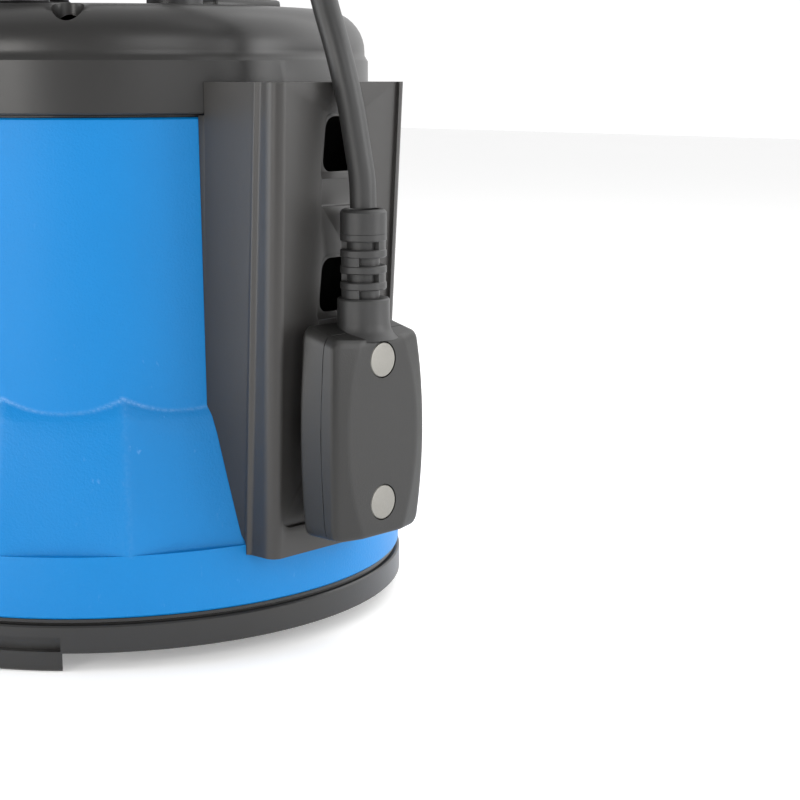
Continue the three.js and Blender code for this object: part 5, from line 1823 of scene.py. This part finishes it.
@dataclass
class Studio:
    """Pale floor, soft lights and the camera.

    Attributes:
        floor_size: side of the floor in metres.
        floor_glow: how far the floor's own light lifts its shadows.
        lens: focal length in millimetres on a 36 mm sensor.
        place: the camera's place in metres.
        heading: direction looked in, from +X towards +Y, in degrees.
        pitch: degrees looked down.
        front_light: strength of the surround on the camera's side.
        back_light: strength of the surround behind the pump.
        lights: name, place, size, power in watts and colour of each light.
    """

    floor_size: float = 8.0
    floor_glow: float = 0.26
    lens: float = 81.0
    place: Point = (0.5141, -0.4017, 0.18555)
    heading: float = 132.8
    pitch: float = 10.38
    front_light: float = 0.35
    back_light: float = 1.05
    lights: Sequence[tuple[str, Point, float, float, Point]] = field(default_factory=lambda: (
        ("key", (0.45, 0.85, 0.85), 1.3, 8.0, (1.0, 1.0, 1.0)),
        ("side", (-0.45, -0.80, 0.25), 0.5, 3.6, (1.0, 1.0, 1.0)),
        ("strip", (0.24, -1.0, 0.30), 0.34, 2.8, (1.0, 0.98, 0.95)),
        ("fill", (1.15, -0.30, 0.55), 0.6, 3.0, (1.0, 1.0, 1.0)),
        ("rim", (1.0, 0.50, 0.35), 0.5, 4.4, (1.0, 1.0, 1.0)),
        ("top", (-0.3, 0.2, 1.5), 1.8, 3.6, (1.0, 1.0, 1.0)),
    ))

    def build(self) -> None:
        """Sets the camera, lights, floor and surround."""
        self.camera()
        for name, place, size, power, colour in self.lights:
            self.area(name, Vector(place), size, power, colour)
        self.floor()
        self.surround()
        bpy.context.scene.view_settings.view_transform = "Standard"

    def camera(self) -> None:
        """The camera, at its place and heading."""
        data = bpy.data.cameras.new("camera")
        data.lens = self.lens
        data.sensor_width = 36.0
        data.clip_start = 0.01
        body = bpy.data.objects.new("camera", data)
        bpy.context.collection.objects.link(body)
        heading, pitch = math.radians(self.heading), math.radians(self.pitch)
        forward = Vector((math.cos(heading) * math.cos(pitch), math.sin(heading) * math.cos(pitch),
                          -math.sin(pitch)))
        body.location = self.place
        body.rotation_mode = "QUATERNION"
        body.rotation_quaternion = forward.to_track_quat("-Z", "Y")
        bpy.context.scene.camera = body

    @staticmethod
    def area(name: str, place: Vector, size: float, power: float, colour: Point) -> None:
        """Adds one soft square light aimed at the pump's middle.

        Args:
            name: the light's name.
            place: where it hangs.
            size: its side.
            power: its power in watts.
            colour: its colour.
        """
        data = bpy.data.lights.new(name, "AREA")
        data.size = size
        data.energy = power
        data.color = colour
        lamp = bpy.data.objects.new(name, data)
        bpy.context.collection.objects.link(lamp)
        lamp.location = place
        lamp.rotation_mode = "QUATERNION"
        lamp.rotation_quaternion = (Vector((0, 0, 0.1)) - place).to_track_quat("-Z", "Y")

    def floor(self) -> None:
        """A wide pale floor with a plain matt finish, just under the feet."""
        Bench.clear()
        bpy.ops.mesh.primitive_plane_add(size=self.floor_size, location=(0, 0, -0.2 * MM))
        floor = bpy.context.object
        floor.name = "floor"
        g = Graph("floor")
        tone = g.noise(3.0, 1.0)
        base = g.blend(tone, (0.97, 0.97, 0.97, 1), (0.99, 0.99, 0.99, 1))
        floor.data.materials.append(g.close({
            "Base Color": base, "Roughness": 0.7,
            "Emission Color": (1.0, 1.0, 1.0, 1.0), "Emission Strength": self.floor_glow,
        }))

    def surround(self) -> None:
        """A white surround behind the pump that falls off to grey in front of it, by direction."""
        world = bpy.data.worlds.new("surround")
        world.use_nodes = True
        tree = world.node_tree
        sky = tree.nodes["Background"]
        sky.inputs["Color"].default_value = (1, 1, 1, 1)
        place = tree.nodes.new("ShaderNodeTexCoord")
        turn = math.radians(self.heading)
        dot = tree.nodes.new("ShaderNodeVectorMath")
        dot.operation = "DOT_PRODUCT"
        dot.inputs[1].default_value = (math.cos(turn), math.sin(turn), 0.0)
        tree.links.new(place.outputs["Generated"], dot.inputs[0])
        shade = tree.nodes.new("ShaderNodeMapRange")
        shade.inputs["From Min"].default_value = -0.5
        shade.inputs["From Max"].default_value = 0.75
        shade.inputs["To Min"].default_value = self.front_light
        shade.inputs["To Max"].default_value = self.back_light
        tree.links.new(dot.outputs["Value"], shade.inputs["Value"])
        tree.links.new(shade.outputs["Result"], sky.inputs["Strength"])
        bpy.context.scene.world = world


# ---------------------------------------------------------------- run


def main() -> None:
    logging.basicConfig(level=logging.INFO, format="%(name)s %(message)s")
    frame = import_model()
    Studio().build()
    paints = Paintbox()
    paints.dress_nodes(frame)
    Cable(paints).build()
    casing = Casing(paints)
    casing.build()
    for assembly in (Base(paints), Cover(paints), Handle(paints), Discharge(paints), Glands(paints),
                     Screws(paints), Rail(paints, casing), Sensor(paints)):
        assembly.build()
        LOG.info("%s done", type(assembly).__name__)


if __name__ == "__main__":
    main()
